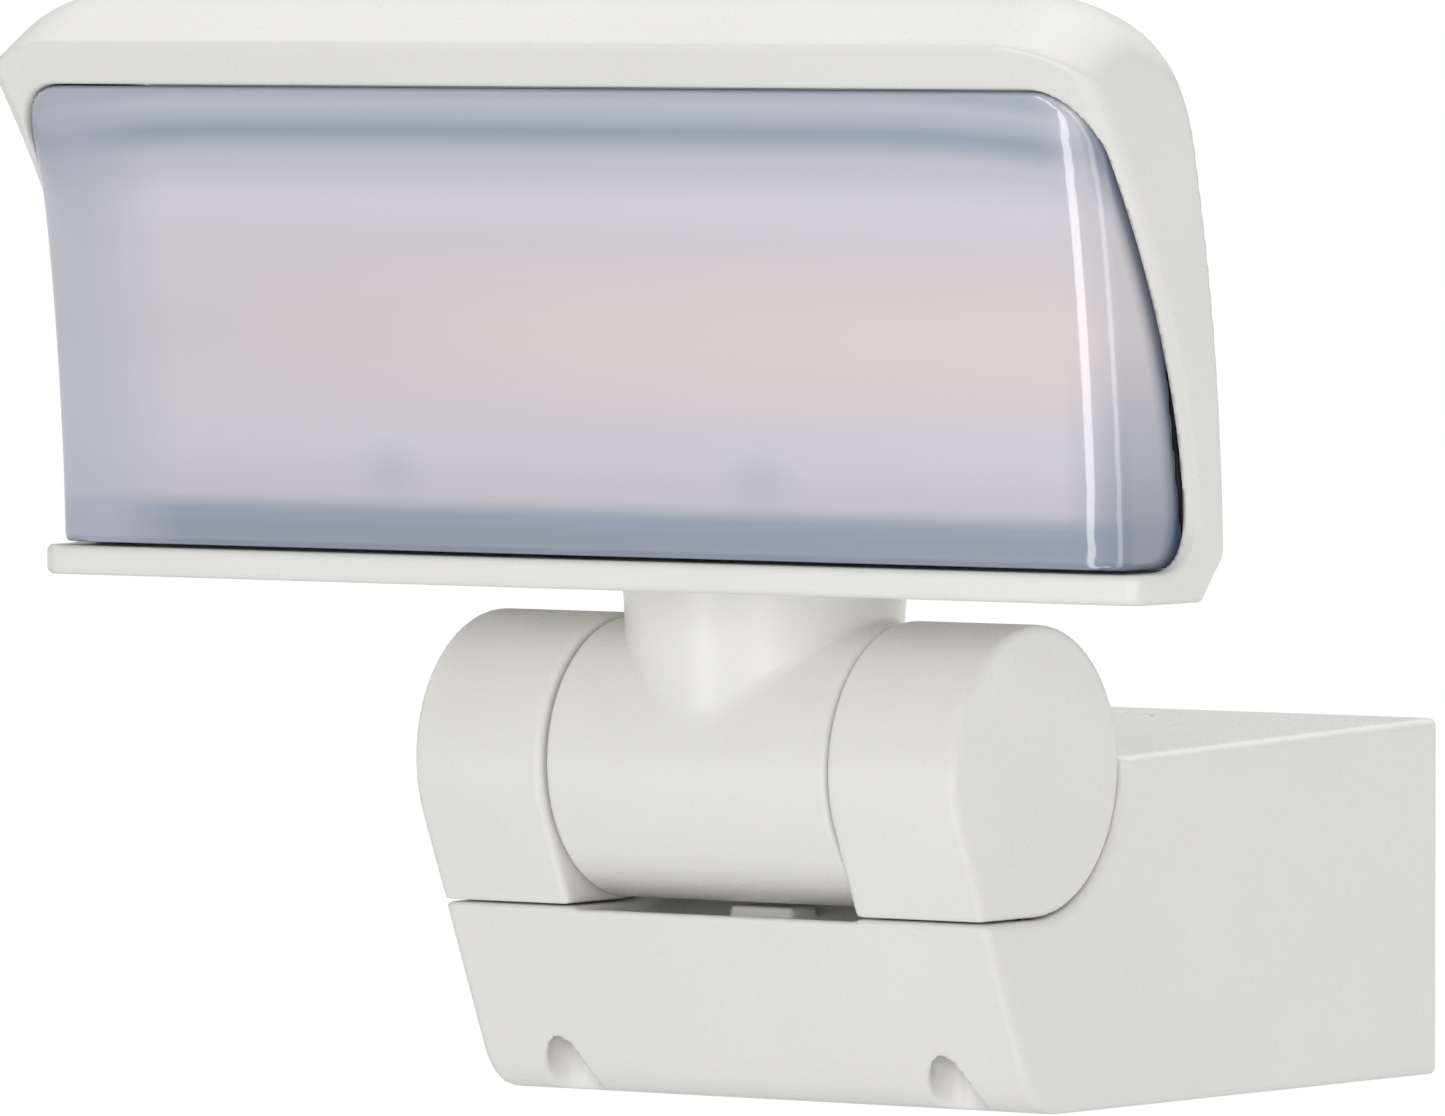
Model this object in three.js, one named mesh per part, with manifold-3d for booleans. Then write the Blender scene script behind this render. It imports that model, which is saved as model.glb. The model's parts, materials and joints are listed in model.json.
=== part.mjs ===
// Outdoor LED wall spotlight with a swivelling head: a wide visored lamp head on a tee-shaped
// swivel, held between two hinge lugs on a wall box. Millimetres, +Z up, +Y towards the wall.
// The origin is the middle of the wall face; the lamp shines towards -Y.

import * as THREE from 'three';
import { mergeVertices } from 'three/addons/utils/BufferGeometryUtils.js';
import Module from 'manifold-3d';

// ---------------------------------------------------------------- driving dimensions

const DEG = Math.PI / 180;

const GAP = 0.3; // clearance between touching pieces

// Wall box. Its sides draw in towards the front by DRAFT on each side.
const BOX_HALF_WIDTH = 46.9;
const BOX_DRAFT = 0.022;
const BOX_BOTTOM = -25;
const BOX_TOP = 24.3;
const BOX_TOP_SLOPE = 0.028;
const BOX_WALL = 2.4;
const BOX_NOSE_RADIUS = 6;
const FRONT_LEAN = 24 * DEG;

// Tilt hinge between the lugs.
const HINGE_Y = -95;
const HINGE_Z = 21;
const LUG_RADIUS = 19.5;
const LUG_INNER_X = 23.4;
const LUG_OUTER_X = 44.4;
const LUG_WALL = 2.4;
const LUG_BEARING_X = 29.4;
const BARREL_RADIUS = 19;
const BARREL_HALF_LENGTH = 22.9;
const NECK_RADIUS = 19.2;
const NECK_FOOT_RADIUS = 17.8;
const TRUNNION_RADIUS = 11.5;
const TRUNNION_END_X = 33.5;
const TRUNNION_BORE = 7.5;
const SPIGOT_RADIUS = 13;
const SPIGOT_BORE = 9.5;
const SPIGOT_TOP = 36;
const TEE_CAVITY_RADIUS = 16;

// Lamp head, measured from the front bottom edge of its lip.
const HEAD_FORWARD = 43.8;
const HEAD_RAISE = 24.6;
const HEAD_HALF_WIDTH = 89.2;
const HEAD_DEPTH = 21.6;
const HEAD_CORNER = { across: 14.5, down: 8.9 };
const LIP_HEIGHT = 4.04;
const CREASE = [-15, 72.2];
const RIDGE = [-4.3, 78.7];
const RIM_FOOT = [13, 11.5];
const OPENING_HALF_WIDTH = 87.25;
const OPENING_TOP = 66.5;
const OPENING_CORNER = 8.5;
const DIFFUSER_INSET = 0.35;
const DIFFUSER_WALL = 2.1;
const DIFFUSER_EDGE = { across: 6.5, deep: 3 };
const BACK_PLANE_Y = 15;
const BACK_PLANE_LEAN = 9.2 * DEG;

// Driver bay behind the head, over the neck.
const BAY_HALF_WIDTH = 46;
const BAY_FLOOR = 0.4;
const BAY_FRONT = 22.2;
const BAY_BACK = 65.8;
const BAY_TOP = 50;
const BAY_WALL = 2.5;

const LEAD_RADIUS = 2.1;

// ---------------------------------------------------------------- materials

const material = (color, roughness, metalness = 0) =>
  new THREE.MeshStandardMaterial({ color, roughness, metalness });

const whitePlastic = material(0xe6e4df, 0.45);
const innerPlastic = material(0xd9d8d4, 0.6);
const greyPlastic = material(0x9a9c9e, 0.55);
const blackPlastic = material(0x26272a, 0.5);
const frosted = material(0xd2cfd6, 0.25);
const trayWhite = material(0xf2f2f0, 0.5);
const rubber = material(0x3a3b3d, 0.85);
const steel = material(0xb8babd, 0.35, 1);
const aluminium = material(0xc4c7ca, 0.4, 1);
const brass = material(0xc2a25a, 0.35, 1);
const circuitBoard = material(0x2f6b46, 0.55);
const ledBoardWhite = material(0xeeeee8, 0.5);
const leadJacket = material(0x4a4b4d, 0.7);

// ---------------------------------------------------------------- solids

const wasm = await Module();
wasm.setup();

function toSolid(geometry) {
  const plain = geometry.clone();
  plain.deleteAttribute('normal');
  plain.deleteAttribute('uv');
  const merged = mergeVertices(plain, 1e-4);
  return new wasm.Manifold(new wasm.Mesh({
    numProp: 3,
    vertProperties: Float32Array.from(merged.attributes.position.array),
    triVerts: Uint32Array.from(merged.index.array),
  }));
}

function toGeometry(solid) {
  const mesh = solid.getMesh();
  const geometry = new THREE.BufferGeometry();
  geometry.setAttribute('position', new THREE.BufferAttribute(mesh.vertProperties, 3));
  geometry.setIndex(new THREE.BufferAttribute(mesh.triVerts, 1));
  geometry.computeVertexNormals();
  return geometry;
}

const join = (...solids) => solids.reduce((whole, solid) => whole.add(solid));
const cut = (solid, ...tools) => tools.reduce((rest, tool) => rest.subtract(tool), solid);

function box(x0, x1, y0, y1, z0, z1) {
  const geometry = new THREE.BoxGeometry(x1 - x0, y1 - y0, z1 - z0);
  geometry.translate((x0 + x1) / 2, (y0 + y1) / 2, (z0 + z1) / 2);
  return toSolid(geometry);
}

// Extrudes a shape drawn in the plane across an axis: (y, z) for X, (x, z) for Y, (x, y) for Z.
function prism(axis, shape, from, to, curveSegments = 8) {
  const geometry = new THREE.ExtrudeGeometry(shape, {
    depth: to - from,
    bevelEnabled: false,
    curveSegments,
  });
  const x = new THREE.Vector3(1, 0, 0);
  const y = new THREE.Vector3(0, 1, 0);
  const z = new THREE.Vector3(0, 0, 1);
  if (axis === 'X') {
    geometry.translate(0, 0, from);
    geometry.applyMatrix4(new THREE.Matrix4().makeBasis(y, z, x));
  } else if (axis === 'Y') {
    geometry.translate(0, 0, -to);
    geometry.applyMatrix4(new THREE.Matrix4().makeBasis(x, z, y.clone().negate()));
  } else {
    geometry.translate(0, 0, from);
  }
  return geometry;
}

// A round bar along an axis, centred on (a, b) in that axis's plane, in the order prism uses.
// An arc takes two points for each of its curve segments.
function rod(axis, a, b, radius, from, to, sides = 20) {
  const shape = new THREE.Shape();
  shape.absarc(a, b, radius, 0, 2 * Math.PI);
  return toSolid(prism(axis, shape, from, to, sides / 2));
}

const tube = (axis, a, b, outer, inner, from, to, sides = 20) =>
  cut(rod(axis, a, b, outer, from, to, sides), rod(axis, a, b, inner, from - 1, to + 1, sides));

// A round lead along a path of points, with its corners rounded by a smooth curve.
function lead(points) {
  const path = new THREE.CatmullRomCurve3(points.map((p) => new THREE.Vector3(...p)), false, 'centripetal');
  const section = new THREE.Shape();
  section.absarc(0, 0, LEAD_RADIUS, 0, 2 * Math.PI);
  const steps = Math.round(path.getLength() / (2.2 * LEAD_RADIUS));
  return toSolid(new THREE.ExtrudeGeometry(section, { extrudePath: path, steps, curveSegments: 4 }));
}

// Joins a run of closed sections, each with the same number of points, into one solid. Seen from
// the last section, looking back, each section's points run anticlockwise.
function loft(sections) {
  const count = sections[0].length;
  const positions = sections.flat(2);
  const index = [];
  for (let s = 0; s + 1 < sections.length; s += 1) {
    for (let i = 0; i < count; i += 1) {
      const a = s * count + i;
      const b = s * count + ((i + 1) % count);
      index.push(a, b, a + count, b, b + count, a + count);
    }
  }
  const last = (sections.length - 1) * count;
  for (let i = 1; i + 1 < count; i += 1) {
    index.push(0, i + 1, i, last, last + i, last + i + 1);
  }
  const geometry = new THREE.BufferGeometry();
  geometry.setAttribute('position', new THREE.Float32BufferAttribute(positions, 3));
  geometry.setIndex(index);
  return toSolid(geometry);
}

const group = new THREE.Group();

function addTo(parent, name, solid, look) {
  const mesh = new THREE.Mesh(toGeometry(solid), look);
  mesh.name = name;
  parent.add(mesh);
}

// ---------------------------------------------------------------- screws

// A pan-head screw along an axis: its head rests at `seat` and its shank ends at `tip`.
function screw(axis, a, b, seat, tip, headRadius, shankRadius, headHeight) {
  const outward = Math.sign(seat - tip);
  const headEnd = seat + outward * headHeight;
  const head = rod(axis, a, b, headRadius, Math.min(seat, headEnd), Math.max(seat, headEnd), 10);
  const overlap = seat + outward * 0.2;
  const shank = rod(axis, a, b, shankRadius, Math.min(tip, overlap), Math.max(tip, overlap), 6);
  const socketEnd = headEnd - outward * headHeight * 0.4;
  const socket = rod(axis, a, b, headRadius * 0.45, Math.min(socketEnd, headEnd + outward),
    Math.max(socketEnd, headEnd + outward), 6);
  return cut(join(head, shank), socket);
}

// ---------------------------------------------------------------- wall box

const base = new THREE.Group();
group.add(base);

const boxTopAt = (y) => BOX_TOP + BOX_TOP_SLOPE * y;
const SEAM_Z = HINGE_Z - LUG_RADIUS - GAP;
const CRADLE_RADIUS = LUG_RADIUS + GAP;
const POCKET_RADIUS = 21.6;
const CRADLE_OUTER = 24.2;
const POCKET_HALF_WIDTH = 23;
const SILL_Z = 0.8;
const REST = { halfWidth: 5.2, front: -96.3, back: -90, top: 1.45 };

// Y of the leaning front face at height z, moved back by `inset` square to the face.
const frontFaceY = (z, inset = 0) =>
  HINGE_Y - (LUG_RADIUS - inset) / Math.cos(FRONT_LEAN) - (z - HINGE_Z) * Math.tan(FRONT_LEAN);

// Side view of the wall box, shrunk by `inset`; `reach` is how far it runs towards the wall.
function boxProfile(inset, reach, cradleRadius) {
  const bottom = BOX_BOTTOM + inset;
  const shelf = HINGE_Z - cradleRadius;
  const nose = BOX_NOSE_RADIUS - inset / 2;
  const cornerY = frontFaceY(bottom, inset);
  const topEnd = Math.asin((boxTopAt(HINGE_Y + cradleRadius) - inset - HINGE_Z) / cradleRadius);
  const shape = new THREE.Shape();
  shape.moveTo(reach, bottom);
  shape.lineTo(cornerY + nose, bottom);
  shape.quadraticCurveTo(cornerY, bottom, frontFaceY(bottom + nose, inset), bottom + nose);
  shape.lineTo(frontFaceY(shelf, inset), shelf);
  shape.lineTo(HINGE_Y, shelf);
  shape.absarc(HINGE_Y, HINGE_Z, cradleRadius, -Math.PI / 2, topEnd, false);
  shape.lineTo(reach, boxTopAt(reach) - inset);
  shape.closePath();
  return shape;
}

// The box profile extruded to a half width at the wall, drawn in towards the front.
function draftedBox(inset, reach, cradleRadius) {
  const halfWidth = BOX_HALF_WIDTH - inset;
  const geometry = prism('X', boxProfile(inset, reach, cradleRadius), -halfWidth, halfWidth, 10);
  const position = geometry.attributes.position;
  for (let i = 0; i < position.count; i += 1) {
    position.setX(i, position.getX(i) * (1 + (BOX_DRAFT * position.getY(i)) / halfWidth));
  }
  return toSolid(geometry);
}

const LUG_SCREW = { x: 31.5, y: HINGE_Y - 0.2, column: 4.6, recess: 3.5, hole: 1.9, recessTop: -9 };
const LEAD_HOLE = { x: 39.2, radius: 2.9 };
const TOP_SCREW = { y: -14.7, boss: 9.5, bossBottom: 10, recess: 8, counterbore: 4.4, hole: 2.2, seat: 17 };

function makeBaseHousing() {
  const outer = draftedBox(0, 0, CRADLE_RADIUS);
  const inner = draftedBox(BOX_WALL, 1, CRADLE_OUTER);
  const columns = [-1, 1].map((side) =>
    rod('Z', side * LUG_SCREW.x, LUG_SCREW.y, LUG_SCREW.column, BOX_BOTTOM, SEAM_Z));
  const boss = rod('Z', 0, TOP_SCREW.y, TOP_SCREW.boss, TOP_SCREW.bossBottom, BOX_TOP + 1);
  const posts = join(...columns, boss).intersect(outer);
  const screwCuts = [-1, 1].flatMap((side) => [
    rod('Z', side * LUG_SCREW.x, LUG_SCREW.y, LUG_SCREW.recess, BOX_BOTTOM - 1, LUG_SCREW.recessTop),
    rod('Z', side * LUG_SCREW.x, LUG_SCREW.y, LUG_SCREW.hole, LUG_SCREW.recessTop - 1, SEAM_Z + 1, 8),
  ]);
  const pocket = rod('X', HINGE_Y, HINGE_Z, POCKET_RADIUS, -POCKET_HALF_WIDTH, POCKET_HALF_WIDTH, 36);
  const trench = box(-POCKET_HALF_WIDTH, POCKET_HALF_WIDTH, frontFaceY(SEAM_Z, BOX_WALL), HINGE_Y,
    HINGE_Z - POCKET_RADIUS, SEAM_Z + 1);
  const sill = box(-POCKET_HALF_WIDTH, POCKET_HALF_WIDTH, frontFaceY(SEAM_Z) - 1, HINGE_Y,
    SILL_Z, SEAM_Z + 1);
  const rest = box(-REST.halfWidth, REST.halfWidth, REST.front, REST.back,
    HINGE_Z - POCKET_RADIUS - 1, REST.top);
  const plugFloor = boxTopAt(TOP_SCREW.y) - 1.8;
  return cut(
    join(cut(join(cut(outer, inner), posts), pocket, trench, sill), rest),
    ...screwCuts,
    rod('Z', LEAD_HOLE.x, HINGE_Y, LEAD_HOLE.radius, SEAM_Z - 8, SEAM_Z + 1, 10),
    rod('Z', 0, TOP_SCREW.y, TOP_SCREW.recess, plugFloor, BOX_TOP + 1, 16),
    rod('Z', 0, TOP_SCREW.y, TOP_SCREW.counterbore, TOP_SCREW.seat, BOX_TOP, 10),
    rod('Z', 0, TOP_SCREW.y, TOP_SCREW.hole, TOP_SCREW.bossBottom - 1, BOX_TOP, 8),
  );
}

addTo(base, 'base_housing', makeBaseHousing(), whitePlastic);

// Plate that is screwed to the wall, inside the open back of the box.
const PLATE = { halfWidth: 44.2, bottom: -22.1, top: 21.3, front: -3 };
const GROMMET = { x: -20, z: -7, hole: 9, flange: 11, bore: 3.6 };
const CLAMP = { x: -23, z: 12, spread: 7.5, bossFront: -7.7 };
const BLOCK = { x: 19, z: -8, halfWidth: 15, halfHeight: 6, front: -19, back: -7.3, pitch: 10 };
const TAB = { halfWidth: 9.5, bottom: 5, top: 9.5, reach: -22 };

function wallSlot(x) {
  const shape = new THREE.Shape();
  const halfLength = 3.5;
  const radius = 2.5;
  shape.absarc(x, halfLength, radius, 0, Math.PI, false);
  shape.absarc(x, -halfLength, radius, Math.PI, 2 * Math.PI, false);
  shape.closePath();
  return toSolid(prism('Y', shape, PLATE.front - 1, 1, 4));
}

function makeWallPlate() {
  const plate = box(-PLATE.halfWidth, PLATE.halfWidth, PLATE.front, 0, PLATE.bottom, PLATE.top);
  const tab = box(-TAB.halfWidth, TAB.halfWidth, TAB.reach, PLATE.front / 2, TAB.bottom, TAB.top);
  const pedestal = box(BLOCK.x - 9, BLOCK.x + 9, BLOCK.back + GAP, PLATE.front / 2, BLOCK.z - 3, BLOCK.z + 3);
  const bosses = [-1, 1].map((side) =>
    rod('Y', CLAMP.x + side * CLAMP.spread, CLAMP.z, 3.2, CLAMP.bossFront, PLATE.front / 2, 10));
  const bossHoles = [-1, 1].map((side) =>
    rod('Y', CLAMP.x + side * CLAMP.spread, CLAMP.z, 1.7, CLAMP.bossFront - 1, PLATE.front - 0.5, 6));
  const blockHoles = [-1, 1].map((side) =>
    rod('Y', BLOCK.x + side * BLOCK.pitch / 2, BLOCK.z, 1.7, BLOCK.back - 1, PLATE.front - 0.5, 6));
  return cut(
    join(plate, tab, pedestal, ...bosses),
    ...bossHoles,
    ...blockHoles,
    rod('Y', GROMMET.x, GROMMET.z, GROMMET.hole, PLATE.front - 1, 1, 12),
    rod('Z', 0, TOP_SCREW.y, 2.2, TAB.bottom - 1, TAB.top + 1, 8),
    wallSlot(-39.5),
    wallSlot(39.5),
  );
}

addTo(base, 'wall_plate', makeWallPlate(), innerPlastic);

// Rubber grommet with a soft-edged bore for the supply cable.
const grommetBody = rod('Y', GROMMET.x, GROMMET.z, GROMMET.hole - GAP, PLATE.front - GAP - 0.5, -GAP, 12);
const grommetFlange = rod('Y', GROMMET.x, GROMMET.z, GROMMET.flange,
  PLATE.front - 2.3, PLATE.front - GAP, 12);
const grommetBore = rod('Y', GROMMET.x, GROMMET.z, GROMMET.bore, PLATE.front - 4, 1, 8);
addTo(base, 'cable_grommet', cut(join(grommetBody, grommetFlange), grommetBore), rubber);

// Strain relief bar over the supply cable, and its screws.
const clampHoles = [-1, 1].map((side) =>
  rod('Y', CLAMP.x + side * CLAMP.spread, CLAMP.z, 1.7, CLAMP.bossFront - 8, CLAMP.bossFront + 1, 6));
const clampBar = box(CLAMP.x - 10.5, CLAMP.x + 10.5, CLAMP.bossFront - 3.8, CLAMP.bossFront - GAP,
  CLAMP.z - 3, CLAMP.z + 3);
const clampSaddle = rod('Z', CLAMP.x, CLAMP.bossFront + 1.2, 4.2, CLAMP.z - 4, CLAMP.z + 4, 8);
addTo(base, 'cable_clamp', cut(clampBar, clampSaddle, ...clampHoles), greyPlastic);
['left', 'right'].forEach((side, i) => {
  const x = CLAMP.x + (2 * i - 1) * CLAMP.spread;
  addTo(base, `cable_clamp_screw_${side}`,
    screw('Y', x, CLAMP.z, CLAMP.bossFront - 4.1, -4, 2.5, 1.35, 1.6), steel);
});

// Three-pole terminal block with its wire ways, clamping screws and two fixing screws.
function makeTerminalBlock() {
  const body = box(BLOCK.x - BLOCK.halfWidth, BLOCK.x + BLOCK.halfWidth, BLOCK.front, BLOCK.back,
    BLOCK.z - BLOCK.halfHeight, BLOCK.z + BLOCK.halfHeight);
  const poles = [-1, 0, 1].flatMap((pole) => [
    rod('Y', BLOCK.x + pole * BLOCK.pitch, BLOCK.z, 2.3, BLOCK.front - 1, BLOCK.front + 5, 6),
    rod('Z', BLOCK.x + pole * BLOCK.pitch, BLOCK.back - 4, 1.7, BLOCK.z - 8, BLOCK.z + 8, 6),
  ]);
  const holes = [-1, 1].map((side) =>
    rod('Y', BLOCK.x + side * BLOCK.pitch / 2, BLOCK.z, 1.7, BLOCK.front - 1, BLOCK.back + 1, 6));
  return cut(body, ...poles, ...holes);
}

addTo(base, 'terminal_block', makeTerminalBlock(), greyPlastic);
[-1, 0, 1].forEach((pole, i) => {
  const x = BLOCK.x + pole * BLOCK.pitch;
  addTo(base, `terminal_screw_${i + 1}`,
    rod('Y', x, BLOCK.z, 1.9, BLOCK.front + 1, BLOCK.front + 4.6, 6), brass);
});
['left', 'right'].forEach((side, i) => {
  const x = BLOCK.x + (i - 0.5) * BLOCK.pitch;
  addTo(base, `block_screw_${side}`, screw('Y', x, BLOCK.z, BLOCK.front - GAP, -4, 2.2, 1.35, 1.4), steel);
});

// Screw that holds the box on the plate's tab, under a round plug in the top.
addTo(base, 'fixing_screw', screw('Z', 0, TOP_SCREW.y, TOP_SCREW.seat + GAP, 3, 3.9, 1.8, 2.6), steel);
const plugTop = boxTopAt(TOP_SCREW.y);
addTo(base, 'fixing_screw_plug', join(
  rod('Z', 0, TOP_SCREW.y, TOP_SCREW.recess - 0.35, plugTop - 1.5, plugTop - 0.1, 16),
  rod('Z', 0, TOP_SCREW.y, TOP_SCREW.counterbore - 0.4, plugTop - 3.4, plugTop - 1.4, 10),
), whitePlastic);

// ---------------------------------------------------------------- hinge lugs

const lugs = new THREE.Group();
lugs.position.set(0, HINGE_Y, HINGE_Z);
base.add(lugs);

const SEAL = { inner: TRUNNION_RADIUS + GAP, outer: 13.3, from: 23.9, to: 25.7 };
const LUG_SEAL_SEAT = 26.1;

// Round lug whose front runs straight down to a foot, in line with the leaning front of the box.
function lugShape() {
  const footY = frontFaceY(HINGE_Z - LUG_RADIUS) - HINGE_Y;
  const shape = new THREE.Shape();
  shape.moveTo(0, -LUG_RADIUS);
  shape.absarc(0, 0, LUG_RADIUS, -Math.PI / 2, Math.PI + FRONT_LEAN, false);
  shape.lineTo(footY, -LUG_RADIUS);
  shape.closePath();
  return shape;
}

// A lug on the +X side: bearing wall inside, hollow outside, with a boss for its fixing screw.
function makeLug(side) {
  const span = (near, far) => (side > 0 ? [near, far] : [-far, -near]);
  const bossTop = -15;
  const screwX = side * LUG_SCREW.x;
  const screwY = LUG_SCREW.y - HINGE_Y;
  const body = toSolid(prism('X', lugShape(), ...span(LUG_INNER_X, LUG_OUTER_X), 18));
  const hollow = rod('X', 0, 0, LUG_RADIUS - LUG_WALL, ...span(LUG_BEARING_X, LUG_OUTER_X - LUG_WALL), 20);
  const boss = rod('Z', screwX, screwY, 3.4, -LUG_RADIUS + 0.5, bossTop, 10);
  const lug = cut(
    join(cut(body, hollow), boss),
    rod('X', 0, 0, TRUNNION_RADIUS + GAP, ...span(LUG_INNER_X - 1, LUG_BEARING_X + 1), 20),
    rod('X', 0, 0, SEAL.outer + GAP, ...span(LUG_INNER_X - 1, LUG_SEAL_SEAT), 20),
    rod('Z', screwX, screwY, 1.85, -LUG_RADIUS - 1, bossTop + 1, 8),
  );
  return side > 0 ? cut(lug, rod('Z', LEAD_HOLE.x, 0, LEAD_HOLE.radius, -LUG_RADIUS - 1, -14, 10)) : lug;
}

[['left', -1], ['right', 1]].forEach(([label, side]) => {
  addTo(lugs, `hinge_lug_${label}`, makeLug(side), whitePlastic);
  addTo(base, `lug_screw_${label}`,
    screw('Z', side * LUG_SCREW.x, LUG_SCREW.y, LUG_SCREW.recessTop - GAP, 5.2, 3.1, 1.5, 2.6), steel);
});

// Inner lead from the terminal block, up through the shelf and the right lug to the trunnion.
addTo(base, 'base_lead', lead([
  [29, -14, -18],
  [31, -24, -18.5],
  [33, -34, -18.5],
  [38, -60, -17],
  [39.2, -84, -15],
  [39.2, -94, -9],
  [39.2, -95, 0],
  [39.2, -95, 14],
  [38.2, -95, 19.4],
  [34.4, -95, 21],
]), leadJacket);

// ---------------------------------------------------------------- swivel tee

const swivel = new THREE.Group();
swivel.position.set(0, HINGE_Y, HINGE_Z);
group.add(swivel);

const NECK_TOP = HEAD_RAISE;
const PAN_SEAL = { inner: 14.6, outer: 17.2, bottom: NECK_TOP - 1.4 };

// Neck of the tee, widening from the tilt axis up to the head.
function makeNeck() {
  const geometry = new THREE.CylinderGeometry(NECK_RADIUS, NECK_FOOT_RADIUS, NECK_TOP, 40);
  geometry.rotateX(Math.PI / 2);
  geometry.translate(0, 0, NECK_TOP / 2);
  return toSolid(geometry);
}

function makeTee() {
  const barrel = rod('X', 0, 0, BARREL_RADIUS, -BARREL_HALF_LENGTH, BARREL_HALF_LENGTH, 40);
  const trunnions = rod('X', 0, 0, TRUNNION_RADIUS, -TRUNNION_END_X, TRUNNION_END_X, 20);
  const spigot = rod('Z', 0, 0, SPIGOT_RADIUS, NECK_TOP - 1, SPIGOT_TOP, 20);
  const barrelCavity = rod('X', 0, 0, TEE_CAVITY_RADIUS, -BARREL_HALF_LENGTH + 3, BARREL_HALF_LENGTH - 3, 18);
  const neckCavity = rod('Z', 0, 0, TEE_CAVITY_RADIUS, 0, NECK_TOP - 4, 18);
  const sealGroove = tube('Z', 0, 0, PAN_SEAL.outer + GAP, PAN_SEAL.inner - GAP,
    PAN_SEAL.bottom - GAP, NECK_TOP + 1, 18);
  return cut(
    join(barrel, makeNeck(), trunnions, spigot),
    barrelCavity,
    neckCavity,
    sealGroove,
    rod('X', 0, 0, TRUNNION_BORE, -TRUNNION_END_X - 1, TRUNNION_END_X + 1, 16),
    rod('Z', 0, 0, SPIGOT_BORE, 0, SPIGOT_TOP + 1, 16),
  );
}

addTo(swivel, 'swivel_tee', makeTee(), whitePlastic);

// A retaining nut with flats, which keeps a trunnion or the spigot from pulling out.
function retainingNut(axis, inner, outer, from, to) {
  return cut(
    rod(axis, 0, 0, outer, from, to, 8),
    rod(axis, 0, 0, inner, from - 1, to + 1, 16),
  );
}

[['left', -1], ['right', 1]].forEach(([label, side]) => {
  const span = (near, far) => (side > 0 ? [near, far] : [-far, -near]);
  addTo(swivel, `tilt_seal_${label}`,
    tube('X', 0, 0, SEAL.outer, SEAL.inner, ...span(SEAL.from, SEAL.to), 14), rubber);
  addTo(swivel, `tilt_washer_${label}`,
    tube('X', 0, 0, 14.6, TRUNNION_RADIUS + GAP, ...span(LUG_BEARING_X + GAP, 30.7), 14), steel);
  addTo(swivel, `tilt_nut_${label}`,
    retainingNut('X', TRUNNION_RADIUS + GAP, 14.6, ...span(31, 33.2)), greyPlastic);
});

addTo(swivel, 'pan_seal',
  tube('Z', 0, 0, PAN_SEAL.outer, PAN_SEAL.inner, PAN_SEAL.bottom, NECK_TOP + 0.1, 16), rubber);
addTo(swivel, 'pan_washer', tube('Z', 0, 0, 17, SPIGOT_RADIUS + GAP, 27.8, 28.6, 16), steel);
addTo(swivel, 'pan_nut', retainingNut('Z', SPIGOT_RADIUS + GAP, 18.5, 28.9, 33.5), greyPlastic);

// Inner lead through the right trunnion, bending up the neck.
addTo(swivel, 'neck_lead', lead([
  [33.2, 0, 0],
  [20, 0, 0],
  [9, 0, 1],
  [1.5, 0, 7],
  [0, 0, 18],
  [0, 0, 35.5],
]), leadJacket);

// ---------------------------------------------------------------- lamp head

const head = new THREE.Group();
head.position.set(0, HINGE_Y - HEAD_FORWARD, HINGE_Z + HEAD_RAISE);
group.add(head);

// Curves of the top and back in the side view, as (y, z) from the lip's front bottom edge.
const crownCurve = new THREE.CubicBezierCurve(
  new THREE.Vector2(...RIDGE),
  new THREE.Vector2(5.4, 78.6),
  new THREE.Vector2(11.7, 76),
  new THREE.Vector2(14.1, 64.3),
);
const backCurve = new THREE.CubicBezierCurve(
  new THREE.Vector2(14.1, 64.3),
  new THREE.Vector2(15.7, 56.5),
  new THREE.Vector2(20.2, 40),
  new THREE.Vector2(HEAD_DEPTH, 9),
);

// Front view outline with rounded top corners, for prisms along Y.
function frontOutline(halfWidth, bottom, top, corner) {
  const shape = new THREE.Shape();
  shape.moveTo(-halfWidth, bottom);
  shape.lineTo(halfWidth, bottom);
  shape.lineTo(halfWidth, top - corner);
  shape.absarc(halfWidth - corner, top - corner, corner, 0, Math.PI / 2, false);
  shape.lineTo(-halfWidth + corner, top);
  shape.absarc(-halfWidth + corner, top - corner, corner, Math.PI / 2, Math.PI, false);
  shape.closePath();
  return shape;
}

// Solid bar between the hood's front surface and a plane behind it, wider than the head.
function hoodBar() {
  const shape = new THREE.Shape();
  shape.moveTo(0.6, 0);
  shape.lineTo(0, 0.6);
  shape.lineTo(0, LIP_HEIGHT - 0.5);
  shape.lineTo(0.5, LIP_HEIGHT);
  shape.lineTo(4.5, LIP_HEIGHT);
  shape.quadraticCurveTo(RIM_FOOT[0], LIP_HEIGHT, ...RIM_FOOT);
  shape.bezierCurveTo(11.8, 31, 0, 54, ...CREASE);
  shape.lineTo(CREASE[0] - 8, CREASE[1] + 10.7);
  shape.lineTo(40, 90);
  shape.lineTo(40, 5);
  shape.lineTo(HEAD_DEPTH, 5);
  shape.lineTo(16.5, 0);
  shape.closePath();
  return toSolid(prism('X', shape, -HEAD_HALF_WIDTH - 2, HEAD_HALF_WIDTH + 2, 9));
}

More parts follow.
